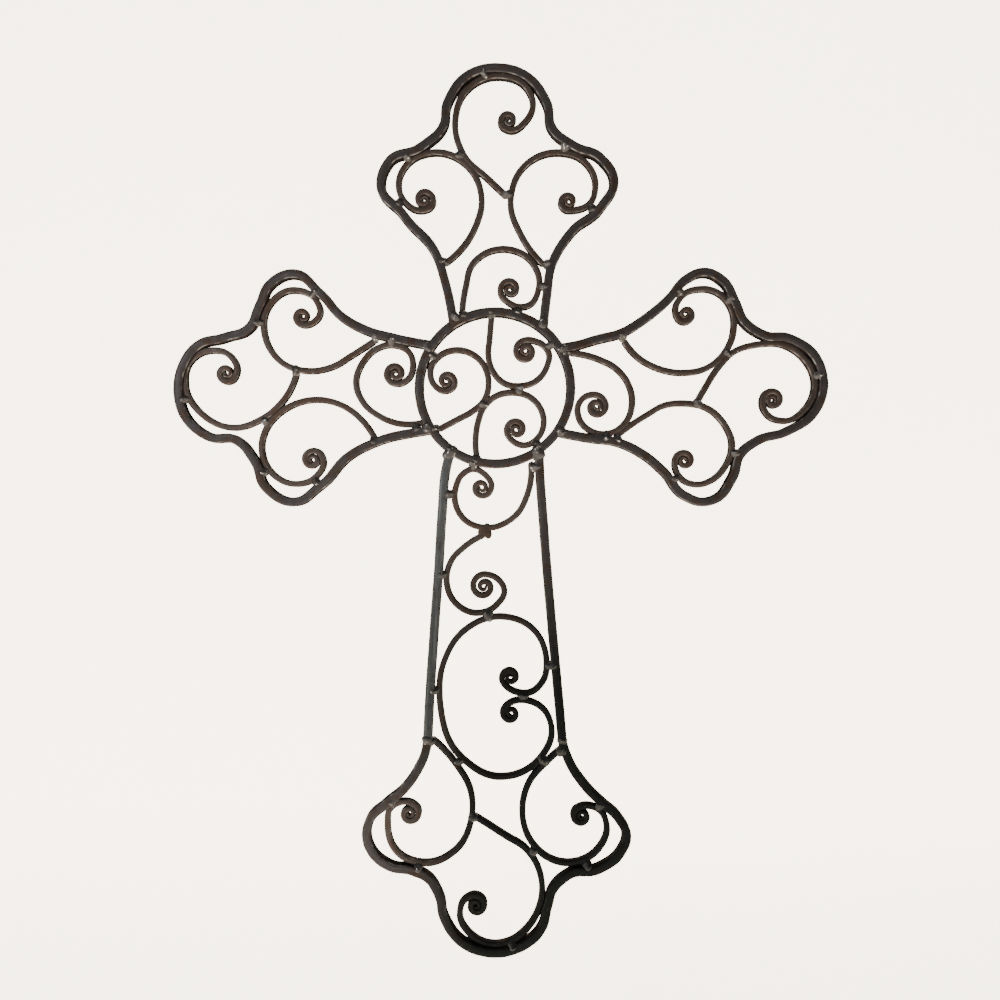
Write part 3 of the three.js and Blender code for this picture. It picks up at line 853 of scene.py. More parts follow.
@dataclass(frozen=True)
class Spatter:
    """Small drops of weld metal stuck to the front of a bar.

    Args:
        smallest: least radius.
        largest: greatest radius.
        spread: how far along the bar they land from the weld.
        count: drops a weld.
        spokes: points round a drop.
        tilts: angle of each of its rings, from the top down.
    """

    smallest: float = 0.22
    largest: float = 0.45
    spread: float = 9.0
    count: int = 3
    spokes: int = 10
    tilts: tuple[float, ...] = (0.35, 0.8, 1.25, 1.7, 2.3)

    def drops(self, line: Line, station: int, depth: float, grain: Grain) -> list[Shell]:
        """Throws the drops of one weld.

        Args:
            line: the bar's line.
            station: the station nearest to the weld.
            depth: depth of the bar's front.
            grain: where they land.

        Returns:
            The drops.
        """
        run, sides, made = line.runs(), line.sides(), []
        for _ in range(self.count):
            there = run[station] + grain.dice.normal(0, self.spread / 2)
            i = int(np.argmin(np.abs(run - there)))
            radius = grain.dice.uniform(self.smallest, self.largest)
            aside = grain.dice.uniform(-0.25, 0.25) * line.thickness[i]
            made.append(self.drop(line.points[i] + sides[i] * aside, depth, radius))
        return made

    def drop(self, spot: np.ndarray, depth: float, radius: float) -> Shell:
        """Builds one flattened drop, sunk by a third into the bar.

        Args:
            spot: its middle.
            depth: depth of the bar's front.
            radius: its radius.

        Returns:
            The closed shell.
        """
        around = np.linspace(0, 2 * math.pi, self.spokes, endpoint=False)
        rows = []
        for tilt in self.tilts:
            high = depth + radius * 0.75 * math.cos(tilt) + radius * 0.15
            rows.append(np.stack([
                spot[0] + radius * math.sin(tilt) * np.cos(around),
                np.full(self.spokes, -high),
                spot[1] + radius * math.sin(tilt) * np.sin(around),
            ], axis=1))
        top = np.array([[spot[0], -(depth + radius * 0.9), spot[1]]])
        foot = np.array([[spot[0], -(depth - radius * 0.6), spot[1]]])
        points = np.concatenate([top, *rows, foot])
        faces = lump_faces(len(rows), self.spokes)
        marks = {"heat": np.ones(len(points)), "arris": np.full(len(points), 0.6)}
        return Shell(points, faces, [Coat.WELD] * len(faces), marks)


@dataclass(frozen=True)
class LowerRightShade:
    """Painted shade that darkens the lower right of the cross, in metres from the hanging point.

    Args:
        heights: where it starts going down, and where it is full.
        across: where it starts going right, and where it is full.
        cover: share of the colour that it hides where it is full.
        colour: its colour.
    """

    heights: tuple[float, float] = (-0.25, -0.38)
    across: tuple[float, float] = (-0.075, -0.01)
    cover: float = 0.95
    colour: tuple[float, float, float] = (0.0012, 0.002, 0.0022)


LOWER_RIGHT_SHADE = LowerRightShade()


class Sheet:
    """A material's node sheet, with short ways to place and join nodes."""

    def __init__(self, name: str) -> None:
        """Starts an empty sheet with a metal shader on it."""
        self.material = bpy.data.materials.new(name)
        self.material.use_nodes = True
        self.nodes, self.links = self.material.node_tree.nodes, self.material.node_tree.links
        self.shader = self.nodes["Principled BSDF"]

    def node(self, kind: str, **settings: object) -> bpy.types.Node:
        """Places a node and sets its options."""
        made = self.nodes.new(kind)
        for key, value in settings.items():
            setattr(made, key, value)
        return made

    def join(self, source: bpy.types.NodeSocket, target: bpy.types.NodeSocket) -> None:
        """Joins two sockets."""
        self.links.new(source, target)

    def mark(self, name: str) -> bpy.types.NodeSocket:
        """Reads a mark of the mesh."""
        return self.node("ShaderNodeAttribute", attribute_name=name).outputs["Fac"]

    def noise(self, scale: float, detail: float = 4.0, rough: float = 0.55,
              vector: bpy.types.NodeSocket | None = None) -> bpy.types.NodeSocket:
        """Gives noise at a number of cells a metre.

        Args:
            scale: cells a metre.
            detail: octaves.
            rough: weight of the finer octaves.
            vector: where it is read, or the object's own coordinates.

        Returns:
            The noise's socket.
        """
        made = self.node("ShaderNodeTexNoise")
        made.inputs["Scale"].default_value = scale
        made.inputs["Detail"].default_value = detail
        made.inputs["Roughness"].default_value = rough
        if vector is None:
            vector = self.node("ShaderNodeTexCoord").outputs["Object"]
        self.join(vector, made.inputs["Vector"])
        return made.outputs["Fac"]

    def ease(self, value: bpy.types.NodeSocket, low: float, high: float,
             to_low: float = 0.0, to_high: float = 1.0) -> bpy.types.NodeSocket:
        """Maps a range smoothly onto another.

        Args:
            value: what is mapped.
            low: where the range starts.
            high: where it ends.
            to_low: result at its start.
            to_high: result at its end.

        Returns:
            The mapped socket.
        """
        made = self.node("ShaderNodeMapRange", interpolation_type="SMOOTHSTEP")
        limits = {"From Min": low, "From Max": high, "To Min": to_low, "To Max": to_high}
        for key, number in limits.items():
            made.inputs[key].default_value = number
        self.join(value, made.inputs["Value"])
        return made.outputs["Result"]

    def times(self, a: bpy.types.NodeSocket, b: bpy.types.NodeSocket | float,
              how: str = "MULTIPLY") -> bpy.types.NodeSocket:
        """Works out one number from two.

        Args:
            a: first number.
            b: second number, a socket or a plain value.
            how: the sum to do.

        Returns:
            The result's socket.
        """
        made = self.node("ShaderNodeMath", operation=how, use_clamp=True)
        self.join(a, made.inputs[0])
        if isinstance(b, float):
            made.inputs[1].default_value = b
        else:
            self.join(b, made.inputs[1])
        return made.outputs[0]

    def mix(self, share: bpy.types.NodeSocket, a: object, b: object) -> bpy.types.NodeSocket:
        """Mixes two colours.

        Args:
            share: how much of the second.
            a: first colour, a socket or plain values.
            b: second colour, a socket or plain values.

        Returns:
            The mixed colour's socket.
        """
        made = self.node("ShaderNodeMix", data_type="RGBA")
        self.join(share, made.inputs["Factor"])
        for socket, colour in ((made.inputs[6], a), (made.inputs[7], b)):
            if isinstance(colour, tuple):
                socket.default_value = (*colour, 1.0)
            else:
                self.join(colour, socket)
        return made.outputs[2]

    def shaded_lower_right(self, colour: bpy.types.NodeSocket) -> bpy.types.NodeSocket:
        """Darkens a colour towards the lower right of the cross: painted shade, where less light falls.

        Args:
            colour: the clean colour.

        Returns:
            The colour's socket, with the painted shade.
        """
        place = self.node("ShaderNodeSeparateXYZ")
        self.join(self.node("ShaderNodeTexCoord").outputs["Object"], place.inputs[0])
        low = self.ease(place.outputs["Z"], *LOWER_RIGHT_SHADE.heights)
        right = self.ease(place.outputs["X"], *LOWER_RIGHT_SHADE.across, 0.0, LOWER_RIGHT_SHADE.cover)
        return self.mix(self.times(low, right), colour, LOWER_RIGHT_SHADE.colour)

    def bump(self, height: bpy.types.NodeSocket, distance: float, strength: float,
             under: bpy.types.NodeSocket | None = None) -> bpy.types.NodeSocket:
        """Adds relief.

        Args:
            height: the relief.
            distance: its height in metres.
            strength: how much of it shows.
            under: relief that it lies on.

        Returns:
            The normal's socket.
        """
        made = self.node("ShaderNodeBump")
        made.inputs["Distance"].default_value = distance
        made.inputs["Strength"].default_value = strength
        self.join(height, made.inputs["Height"])
        if under is not None:
            self.join(under, made.inputs["Normal"])
        return made.outputs["Normal"]


@dataclass(frozen=True)
class ForgedIron:
    """Dark forged iron: mill streaks, brown scale, corner wear with a painted highlight, weld heat
    marks.

    Args:
        name: the finish.
        face: colour of the clean faces.
        scale: colour of the brown scale.
        flank: painted shade on the side faces, a near-black colour.
        wear_and_highlight: colour of the corners' wear, which also paints a highlight along the edges,
            and of the light grit by the welds.
        scaled: share of the faces that scale covers.
        smooth: roughness of the smoothest places.
        rough: roughness of the roughest places.
        lift: brightness of the streaks along the bar.
        gloss: strength of the plain reflection.
        rim: tint of the reflection where the surface turns away.
        metallic: how far the faces shine as bare metal.
        rust: colour of the rust round the welds.
    """

    name: str
    face: tuple[float, float, float]
    scale: tuple[float, float, float]
    flank: tuple[float, float, float]
    wear_and_highlight: tuple[float, float, float] = (0.16, 0.155, 0.15)
    scaled: float = 0.5
    smooth: float = 0.25
    rough: float = 0.47
    lift: float = 0.3
    gloss: float = 0.15
    rim: tuple[float, float, float] = (0.3, 0.29, 0.28)
    metallic: float = 0.62
    rust: tuple[float, float, float] = (0.05, 0.03, 0.022)

    def material(self) -> bpy.types.Material:
        """Makes the material of this finish.

        Returns:
            The material.
        """
        sheet = Sheet(self.name)
        grain = sheet.node("ShaderNodeCombineXYZ")
        sheet.join(sheet.mark("run"), grain.inputs["X"])
        sheet.join(sheet.mark("girth"), grain.inputs["Y"])
        streaks = sheet.noise(1.0, 3.0, 0.6, self.stretched(sheet, grain.outputs[0], 95.0, 0.9))
        long_streaks = sheet.noise(1.0, 2.0, 0.5, self.stretched(sheet, grain.outputs[0], 28.0, 0.45))
        patches = sheet.noise(120.0, 6.0, 0.62)
        grit = sheet.noise(1500.0, 3.0, 0.6)
        arris, heat, flank = sheet.mark("arris"), sheet.mark("heat"), sheet.mark("flank")

        scaled = sheet.ease(patches, 0.62 - 0.24 * self.scaled, 0.74 - 0.24 * self.scaled)
        colour = sheet.mix(scaled, self.face, self.scale)
        lighter = tuple(min(1.0, c * (1 + 4 * self.lift)) for c in self.face)
        colour = sheet.mix(sheet.times(sheet.ease(long_streaks, 0.5, 0.72), self.lift), colour, lighter)
        # The side faces are painted near-black: painted shade.
        colour = sheet.mix(sheet.times(flank, 0.8), colour, self.flank)
        rusty = sheet.times(sheet.ease(heat, 0.05, 0.8), sheet.ease(sheet.noise(420.0), 0.42, 0.62))
        colour = sheet.mix(sheet.times(rusty, 0.6), colour, self.rust)
        # Worn corners, lightened along the edges: wear and a painted highlight.
        rubbing = sheet.noise(260.0, 5.0)
        rubbed_highlight = sheet.times(sheet.ease(arris, 0.35, 1.0), sheet.ease(rubbing, 0.44, 0.66))
        colour = sheet.mix(sheet.times(rubbed_highlight, 0.5), colour, self.wear_and_highlight)
        sparks = sheet.times(sheet.ease(grit, 0.7, 0.76), sheet.ease(heat, 0.1, 0.6))
        colour = sheet.mix(sheet.times(sparks, 0.7), colour, self.wear_and_highlight)
        # Painted shade darkens the lower right of the cross.
        sheet.join(sheet.shaded_lower_right(colour), sheet.shader.inputs["Base Color"])

        dull = sheet.ease(sheet.times(patches, streaks, "ADD"), 0.6, 1.0, self.smooth, self.rough)
        shine = sheet.node("ShaderNodeMath", operation="SUBTRACT", use_clamp=True)
        sheet.join(dull, shine.inputs[0])
        sheet.join(sheet.times(rubbed_highlight, 0.12), shine.inputs[1])
        sheet.join(shine.outputs[0], sheet.shader.inputs["Roughness"])

        relief = sheet.bump(sheet.noise(150.0, 2.0, 0.4), 0.0005, 0.6)
        relief = sheet.bump(streaks, 0.00012, 0.6, relief)
        relief = sheet.bump(grit, 0.00007, 0.5, relief)
        sheet.join(relief, sheet.shader.inputs["Normal"])
        sheet.shader.inputs["Metallic"].default_value = self.metallic
        sheet.shader.inputs["Specular IOR Level"].default_value = self.gloss
        sheet.shader.inputs["Specular Tint"].default_value = (*self.rim, 1.0)
        return sheet.material

    def stretched(self, sheet: Sheet, vector: bpy.types.NodeSocket, along: float,
                  around: float) -> bpy.types.NodeSocket:
        """Stretches coordinates along the bar.

        Args:
            sheet: the sheet.
            vector: coordinates along and around the bar.
            along: cells a metre along it.
            around: cells a flat around it.

        Returns:
            The stretched coordinates.
        """
        made = sheet.node("ShaderNodeVectorMath", operation="MULTIPLY")
        made.inputs[1].default_value = (along, around, 1.0)
        sheet.join(vector, made.inputs[0])
        return made.outputs[0]


@dataclass(frozen=True)
class WeldMetal:
    """Weld metal: dark lumps with small light facets where the metal was smoothest: bare metal,
    lightened further as painted glints.

    Args:
        name: the finish.
        dark: colour of the oxide.
        bare_glint: colour of the bare metal, made light enough to paint its glints.
        metallic: how far it shines as bare metal.
    """

    name: str = "weld_metal"
    dark: tuple[float, float, float] = (0.026, 0.024, 0.024)
    bare_glint: tuple[float, float, float] = (0.4, 0.39, 0.38)
    metallic: float = 0.75

    def material(self) -> bpy.types.Material:
        """Makes the material of this finish.

        Returns:
            The material.
        """
        sheet = Sheet(self.name)
        lumps = sheet.noise(520.0, 4.0, 0.5)
        # Bare metal facets, lightened into painted glints.
        bare = sheet.times(sheet.ease(lumps, 0.59, 0.68), 0.5)
        colour = sheet.mix(bare, self.dark, self.bare_glint)
        # Painted shade darkens the lower right of the cross.
        sheet.join(sheet.shaded_lower_right(colour), sheet.shader.inputs["Base Color"])
        sheet.join(sheet.ease(lumps, 0.35, 0.7, 0.46, 0.24), sheet.shader.inputs["Roughness"])
        relief = sheet.bump(lumps, 0.0005, 0.7)
        relief = sheet.bump(sheet.noise(1600.0, 3.0), 0.00006, 0.5, relief)
        sheet.join(relief, sheet.shader.inputs["Normal"])
        sheet.shader.inputs["Metallic"].default_value = self.metallic
        return sheet.material


@dataclass(frozen=True)
class ShadedFlankScale:
    """Dull dark scale on the side faces, backs and ends, made near-black as painted shade, with brown
    rust patches.

    Args:
        name: the finish.
        dark: colour of the scale, near-black as painted shade.
        brown: colour where it has rusted.
    """

    name: str = "shaded_flank_scale"
    dark: tuple[float, float, float] = (0.006, 0.0055, 0.0055)
    brown: tuple[float, float, float] = (0.016, 0.011, 0.009)

    def material(self) -> bpy.types.Material:
        """Makes the material of this finish.

        Returns:
            The material.
        """
        sheet = Sheet(self.name)
        patches = sheet.noise(160.0, 5.0, 0.6)
        rusted = sheet.ease(patches, 0.5, 0.68)
        sheet.join(sheet.mix(rusted, self.dark, self.brown), sheet.shader.inputs["Base Color"])
        sheet.join(sheet.ease(patches, 0.4, 0.7, 0.62, 0.86), sheet.shader.inputs["Roughness"])
        sheet.join(sheet.bump(sheet.noise(900.0, 4.0), 0.00008, 0.6), sheet.shader.inputs["Normal"])
        sheet.shader.inputs["Specular IOR Level"].default_value = 0.0
        return sheet.material


class Finish(Enum):
    """The finishes that the bars come in."""

    # The third colour of each iron is the painted shade on its side faces.
    FRAME = ForgedIron(
        "frame_iron", (0.02, 0.0187, 0.0195), (0.0205, 0.0145, 0.0122), (0.016, 0.0105, 0.009)
    )
    SCROLL = ForgedIron(
        "scroll_iron", (0.027, 0.022, 0.0205), (0.026, 0.018, 0.0148), (0.0165, 0.0115, 0.01),
        scaled=0.6,
    )
    # A lighter, bluer copy of the iron for the left post: painted light from the left.
    POST = ForgedIron(
        "lit_post_iron", (0.031, 0.034, 0.037), (0.021, 0.02, 0.021), (0.014, 0.012, 0.011),
        scaled=0.4, lift=0.5,
    )
    WELD = WeldMetal()
    # Painted shade on the side faces, backs and ends.
    FLANK = ShadedFlankScale()


class Paints:
    """Makes each finish's material once."""

    def __init__(self) -> None:
        """Starts with none made."""
        self.made: dict[Finish, bpy.types.Material] = {}

    def of(self, finish: Finish) -> bpy.types.Material:
        """Gives the material of a finish, and makes it the first time."""
        if finish not in self.made:
            self.made[finish] = finish.value.material()
        return self.made[finish]


@dataclass
class Forge:
    """Makes and dresses the cross's bars.

    Args:
        lines: the middle line of each bar by name.
        origin: the hanging point, from the ring's centre.
        smith: what laid the bars out.
        bead: the shape of its weld beads.
        spatter: the drops round them.
        warm_reach: how far a weld's heat marks the bar, in millimetres.
        bead_edge: distance from a weld's middle at which its heat starts to fade.
    """

    lines: dict[str, Line]
    origin: np.ndarray
    smith: Smith
    bead: WeldBead = WeldBead()
    spatter: Spatter = Spatter()
    warm_reach: float = 5.0
    bead_edge: float = 2.5

    def make(self, bar: Bar) -> bpy.types.Object:
        """Builds one bar with its welds and puts it in its node's place.

        Args:
            bar: the bar.

        Returns:
            The piece.
        """
        grain = Grain(bar.name)
        stock, line, hide = STOCKS[bar.heft], self.lines[bar.name], Hide.empty()
        set_back = 0.0 if bar.heft is Heft.FRAME else 0.1 * float(grain.dice.uniform())
        body = BarBody(stock, set_back).shell(line, grain)
        seats = self.seats(bar, line)
        body.marks["heat"] = self.warmth(body.points, seats)
        hide.add(body)
        for weld, seat, gap, across, other_front in seats:
            hide.add(self.bead.shell(seat, gap, across, weld, (stock.thickness, other_front), grain))
            for drop in self.spatter.drops(line, line.nearest(seat), stock.thickness - set_back, grain):
                hide.add(drop)
        return self.place(bar, hide)

    def seats(self, bar: Bar, line: Line) -> list[tuple[Weld, np.ndarray, float, float, float]]:
        """Finds where each of a bar's welds sits.

        Args:
            bar: the bar.
            line: its middle line.

        Returns:
            The weld, with its seat, gap, angle and the other bar's front, for each weld.
        """
        found = []
        for weld in bar.welds:
            spot = self.smith.place(bar, (weld.run, weld.side, weld.section or bar.section))
            other = self.lines[weld.partner]
            seat, gap, across = self.bead.seat(line, other, spot)
            found.append((weld, seat, gap, across, other.front))
        return found

    def warmth(self, points: np.ndarray, seats: list) -> np.ndarray:
        """Gives how strongly the welds' heat marked each point.

        Args:
            points: the points.
            seats: the bar's welds and their seats.

        Returns:
            A share from 0 to 1 for each point.
        """
        warm = np.zeros(len(points))
        for weld, seat, _, _, _ in seats:
            away = np.linalg.norm(points[:, [0, 2]] - seat, axis=1)
            beyond = np.maximum(away - self.bead_edge, 0)
            warm = np.maximum(warm, np.exp(-beyond / (self.warm_reach * weld.size)))
        return warm

    def place(self, bar: Bar, hide: Hide) -> bpy.types.Object:
        """Makes the object of a built bar, hides its node's own part and hangs the object on the root
        body.

        Args:
            bar: the bar.
            hide: its mesh.

        Returns:
            The object.
        """
        points = np.array(hide.points) - np.array([self.origin[0], 0.0, self.origin[1]])
        mesh = bpy.data.meshes.new(bar.name + "_bar")
        mesh.from_pydata((points * MM).tolist(), [], hide.faces)
        for key, values in hide.marks.items():
            scale = MM if key == "run" else 1.0
            mark = mesh.attributes.new(key, "FLOAT", "POINT")
            mark.data.foreach_set("value", (np.array(values) * scale).astype(np.float32))
        for _ in Coat:
            mesh.materials.append(None)
        mesh.polygons.foreach_set("material_index", hide.coats)
        mesh.polygons.foreach_set("use_smooth", [len(face) <= 4 for face in hide.faces])
        mesh.update()
        mesh.validate()
        piece = bpy.data.objects.new(bar.name + "_forged", mesh)
        bpy.context.scene.collection.objects.link(piece)
        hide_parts(bar.name)
        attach(piece, "root")
        return piece


@dataclass
class SubAssembly:
    """A part of the cross that is built and dressed on its own.

    Args:
        bars: its bars, in the order in which they are welded.
    """

    bars: tuple[Bar, ...] = ()

    def finish(self, bar: Bar) -> Finish:
        """Gives the finish of a bar."""
        return Finish.FRAME if bar.heft is Heft.FRAME else Finish.SCROLL

    def build(self, forge: Forge) -> list[bpy.types.Object]:
        """Makes every bar of the sub-assembly.

        Args:
            forge: what makes the bars.

        Returns:
            The pieces, one for each bar.
        """
        return [forge.make(bar) for bar in self.bars]

    def dress(self, pieces: list[bpy.types.Object], paints: Paints) -> None:
        """Gives every piece its finishes.

        Args:
            pieces: the pieces, one for each bar.
            paints: the finishes.
        """
        for bar, piece in zip(self.bars, pieces):
            # The side faces, backs and ends take the painted shade.
            coats = {Coat.IRON: self.finish(bar), Coat.WELD: Finish.WELD, Coat.SHADED_SIDES: Finish.FLANK}
            for coat, finish in coats.items():
                piece.data.materials[coat] = paints.of(finish)


@dataclass
class CentreRing(SubAssembly):
    """The ring that everything is welded to, with the scrolls inside it.

    Args:
        radius: from its centre to the middle of its bar, in millimetres.
    """

    radius: float = 45.5
    bars: tuple[Bar, ...] = (
        Bar("centre_ring", Section.RING, Heft.FRAME, ()),
        Bar(
            "ring_left_scroll", Section.RING, Heft.SCROLL,
            (
                (-0.537, -0.716), (-0.413, -0.479), (-0.316, -0.303), (-0.191, -0.158), (0.105, -0.086),
                (0.376, -0.211), (0.491, -0.462), (0.429, -0.712), (0.198, -0.851), (0.02, -0.785),
            ),
            eye=Eye(0.084, -0.636, 0.129, -90, Hand.ANTICLOCKWISE),
            welds=(
                Weld("centre_ring", 0.42, -0.82), Weld("centre_ring", -0.51, -0.75),
            ),
        ),
        Bar(
            "ring_upper_scroll", Section.RING, Heft.SCROLL,
            (
                (0.897, -0.049), (0.633, -0.071), (0.435, -0.088), (0.224, -0.033), (0.053, 0.132),
                (0.02, 0.33), (0.088, 0.541), (0.264, 0.679), (0.462, 0.705), (0.56, 0.633),
                (0.613, 0.514),
            ),
            eye=Eye(0.477, 0.404, 0.148, 90, Hand.ANTICLOCKWISE),
            welds=(
                Weld("centre_ring", 0.93, -0.05), Weld("centre_ring", 0.57, 0.75),
            ),
        ),
        Bar(
            "ring_lower_scroll", Section.RING, Heft.SCROLL,
            (
                (-0.88, -0.241), (-0.686, -0.255), (-0.475, -0.228), (-0.257, -0.145), (-0.112, 0.013),
                (-0.065, 0.224), (-0.125, 0.462), (-0.29, 0.607), (-0.488, 0.64), (-0.666, 0.56),
                (-0.758, 0.396), (-0.699, 0.231),
            ),
            eye=Eye(-0.55, 0.281, 0.132, -160, Hand.CLOCKWISE),
            welds=(
                Weld("ring_upper_scroll", -0.02, 0.33, size=1.1), Weld("ring_left_scroll", -0.21, -0.17),
                Weld("centre_ring", -0.92, -0.24), Weld("centre_ring", -0.74, 0.57),
            ),
        ),
    )

    def area(self) -> Area:
        """Gives the ring's area."""
        return Area((0, 1), (1, 0), 0.0, self.radius, self.radius)

    def line(self) -> Line:
        """Gives the ring's own line."""
        count = round(2 * math.pi * self.radius / Bender.step)
        angle = np.linspace(0, 2 * math.pi, count, endpoint=False)
        points = self.radius * np.stack([np.cos(angle), np.sin(angle)], axis=1)
        stock = STOCKS[Heft.FRAME]
        return Line(points, np.full(count, stock.thickness), closed=True, front=stock.thickness)


@dataclass
class Arm(SubAssembly):
    """An arm: a frame bent round three lobes, and the scrolls that fill it.

    Args:
        reach: from the ring's centre to the arm's outer edge, in millimetres.
        width: width over the frame.
        root: radius of the ring that it starts from.
    """

    reach: float = 0.0
    width: float = 0.0
    root: float = CentreRing.radius

    def along(self) -> tuple[float, float]:
        """Gives the arm's direction."""
        raise NotImplementedError

    def across(self) -> tuple[float, float]:
        """Gives the direction across the arm."""
        return (0, 1)

    def area(self) -> Area:
        """Gives the arm's area."""
        stock = STOCKS[Heft.FRAME].thickness
        end, half = self.reach - stock / 2, (self.width - stock) / 2
        return Area(self.along(), self.across(), self.root, end, half)


@dataclass
class TopArm(Arm):
    """The top arm, which the cross hangs by."""

    reach: float = 194.5
    width: float = 145.2
    bars: tuple[Bar, ...] = (
        Bar(
            "top_arm_frame", Section.TOP, Heft.FRAME,
            (
                (0.831, -0.549, Section.RING), (0.111, -0.421), (0.248, -0.518), (0.388, -0.77),
                (0.538, -0.979), (0.61, -0.919), (0.677, -0.63), (0.756, -0.451), (0.862, -0.404),
                (0.965, -0.245), (1, 0.026), (0.961, 0.283), (0.861, 0.441), (0.746, 0.5),
                (0.683, 0.668), (0.63, 0.909), (0.538, 1.022), (0.429, 0.909), (0.325, 0.652),
                (0.21, 0.5), (0.05, 0.441), (0.765, 0.636, Section.RING),
            ),
            welds=(
                Weld("centre_ring", 0.99, -0.56, Section.RING, size=1.2),
                Weld("centre_ring", 0.9, 0.68, Section.RING, size=1.2),
            ),
        ),
        Bar(
            "top_left_scroll", Section.TOP, Heft.SCROLL,
            (
                (0.203, -0.419), (0.333, -0.181), (0.463, -0.114), (0.585, -0.214), (0.65, -0.515),
                (0.593, -0.767), (0.534, -0.822), (0.464, -0.795),
            ),
            eye=Eye(0.457, -0.607, 0.094, -100, Hand.ANTICLOCKWISE),
            welds=(
                Weld("top_arm_frame", 0.63, -0.76), Weld("top_arm_frame", 0.44, -0.83),
                Weld("top_arm_frame", 0.21, -0.43),
            ),
        ),
        Bar(
            "top_right_scroll", Section.TOP, Heft.SCROLL,
            (
                (0.199, 0.404), (0.287, 0.254), (0.463, 0.136), (0.574, 0.216), (0.65, 0.54),
                (0.614, 0.764), (0.516, 0.861), (0.436, 0.799),
            ),
            eye=Eye(0.449, 0.63, 0.082, -65, Hand.CLOCKWISE),
            welds=(
                Weld("top_arm_frame", 0.68, 0.6), Weld("top_arm_frame", 0.42, 0.82),
                Weld("top_arm_frame", 0.2, 0.43),
            ),
        ),
        Bar(
            "top_end_scroll", Section.TOP, Heft.SCROLL,
            (
                (0.478, 0.083), (0.532, -0.037), (0.643, -0.27), (0.769, -0.342), (0.903, -0.246),
                (0.962, 0.019), (0.911, 0.276), (0.846, 0.326), (0.782, 0.271),
            ),
            eye=Eye(0.78, 0.116, 0.08, -90, Hand.CLOCKWISE),
            welds=(
                Weld("top_arm_frame", 0.97, -0.09), Weld("top_left_scroll", 0.64, -0.3, size=1.1),
                Weld("top_right_scroll", 0.48, 0.09, size=1.1),
            ),
        ),
        Bar(
            "top_base_scroll", Section.TOP, Heft.SCROLL,
            (
                (1.023, -0.426, Section.RING), (0.08, -0.259), (0.208, -0.166), (0.255, 0.091),
                (0.203, 0.315), (0.111, 0.38), (0.019, 0.252), (0.038, 0.112),
            ),
            eye=Eye(0.091, 0.129, 0.086, -160, Hand.CLOCKWISE, slack=0.2),
            welds=(
                Weld("centre_ring", 1, -0.43, Section.RING),
                Weld("centre_ring", 1.02, 0.3, Section.RING), Weld("top_arm_frame", 0.1, 0.41),
            ),
        ),
    )

    def along(self) -> tuple[float, float]:
        """Gives the arm's direction, up."""
        return (0, 1)

    def across(self) -> tuple[float, float]:
        """Gives the direction across the arm, to the right."""
        return (1, 0)

    def hanging_point(self, smith: Smith) -> np.ndarray:
        """Finds the highest place of the arm's frame.

        Args:
            smith: what lays the bars out.

        Returns:
            The place, from the ring's centre.
        """
        frame_bar = self.bars[0]
        return max((smith.place(frame_bar, entry) for entry in frame_bar.places), key=lambda p: p[1])


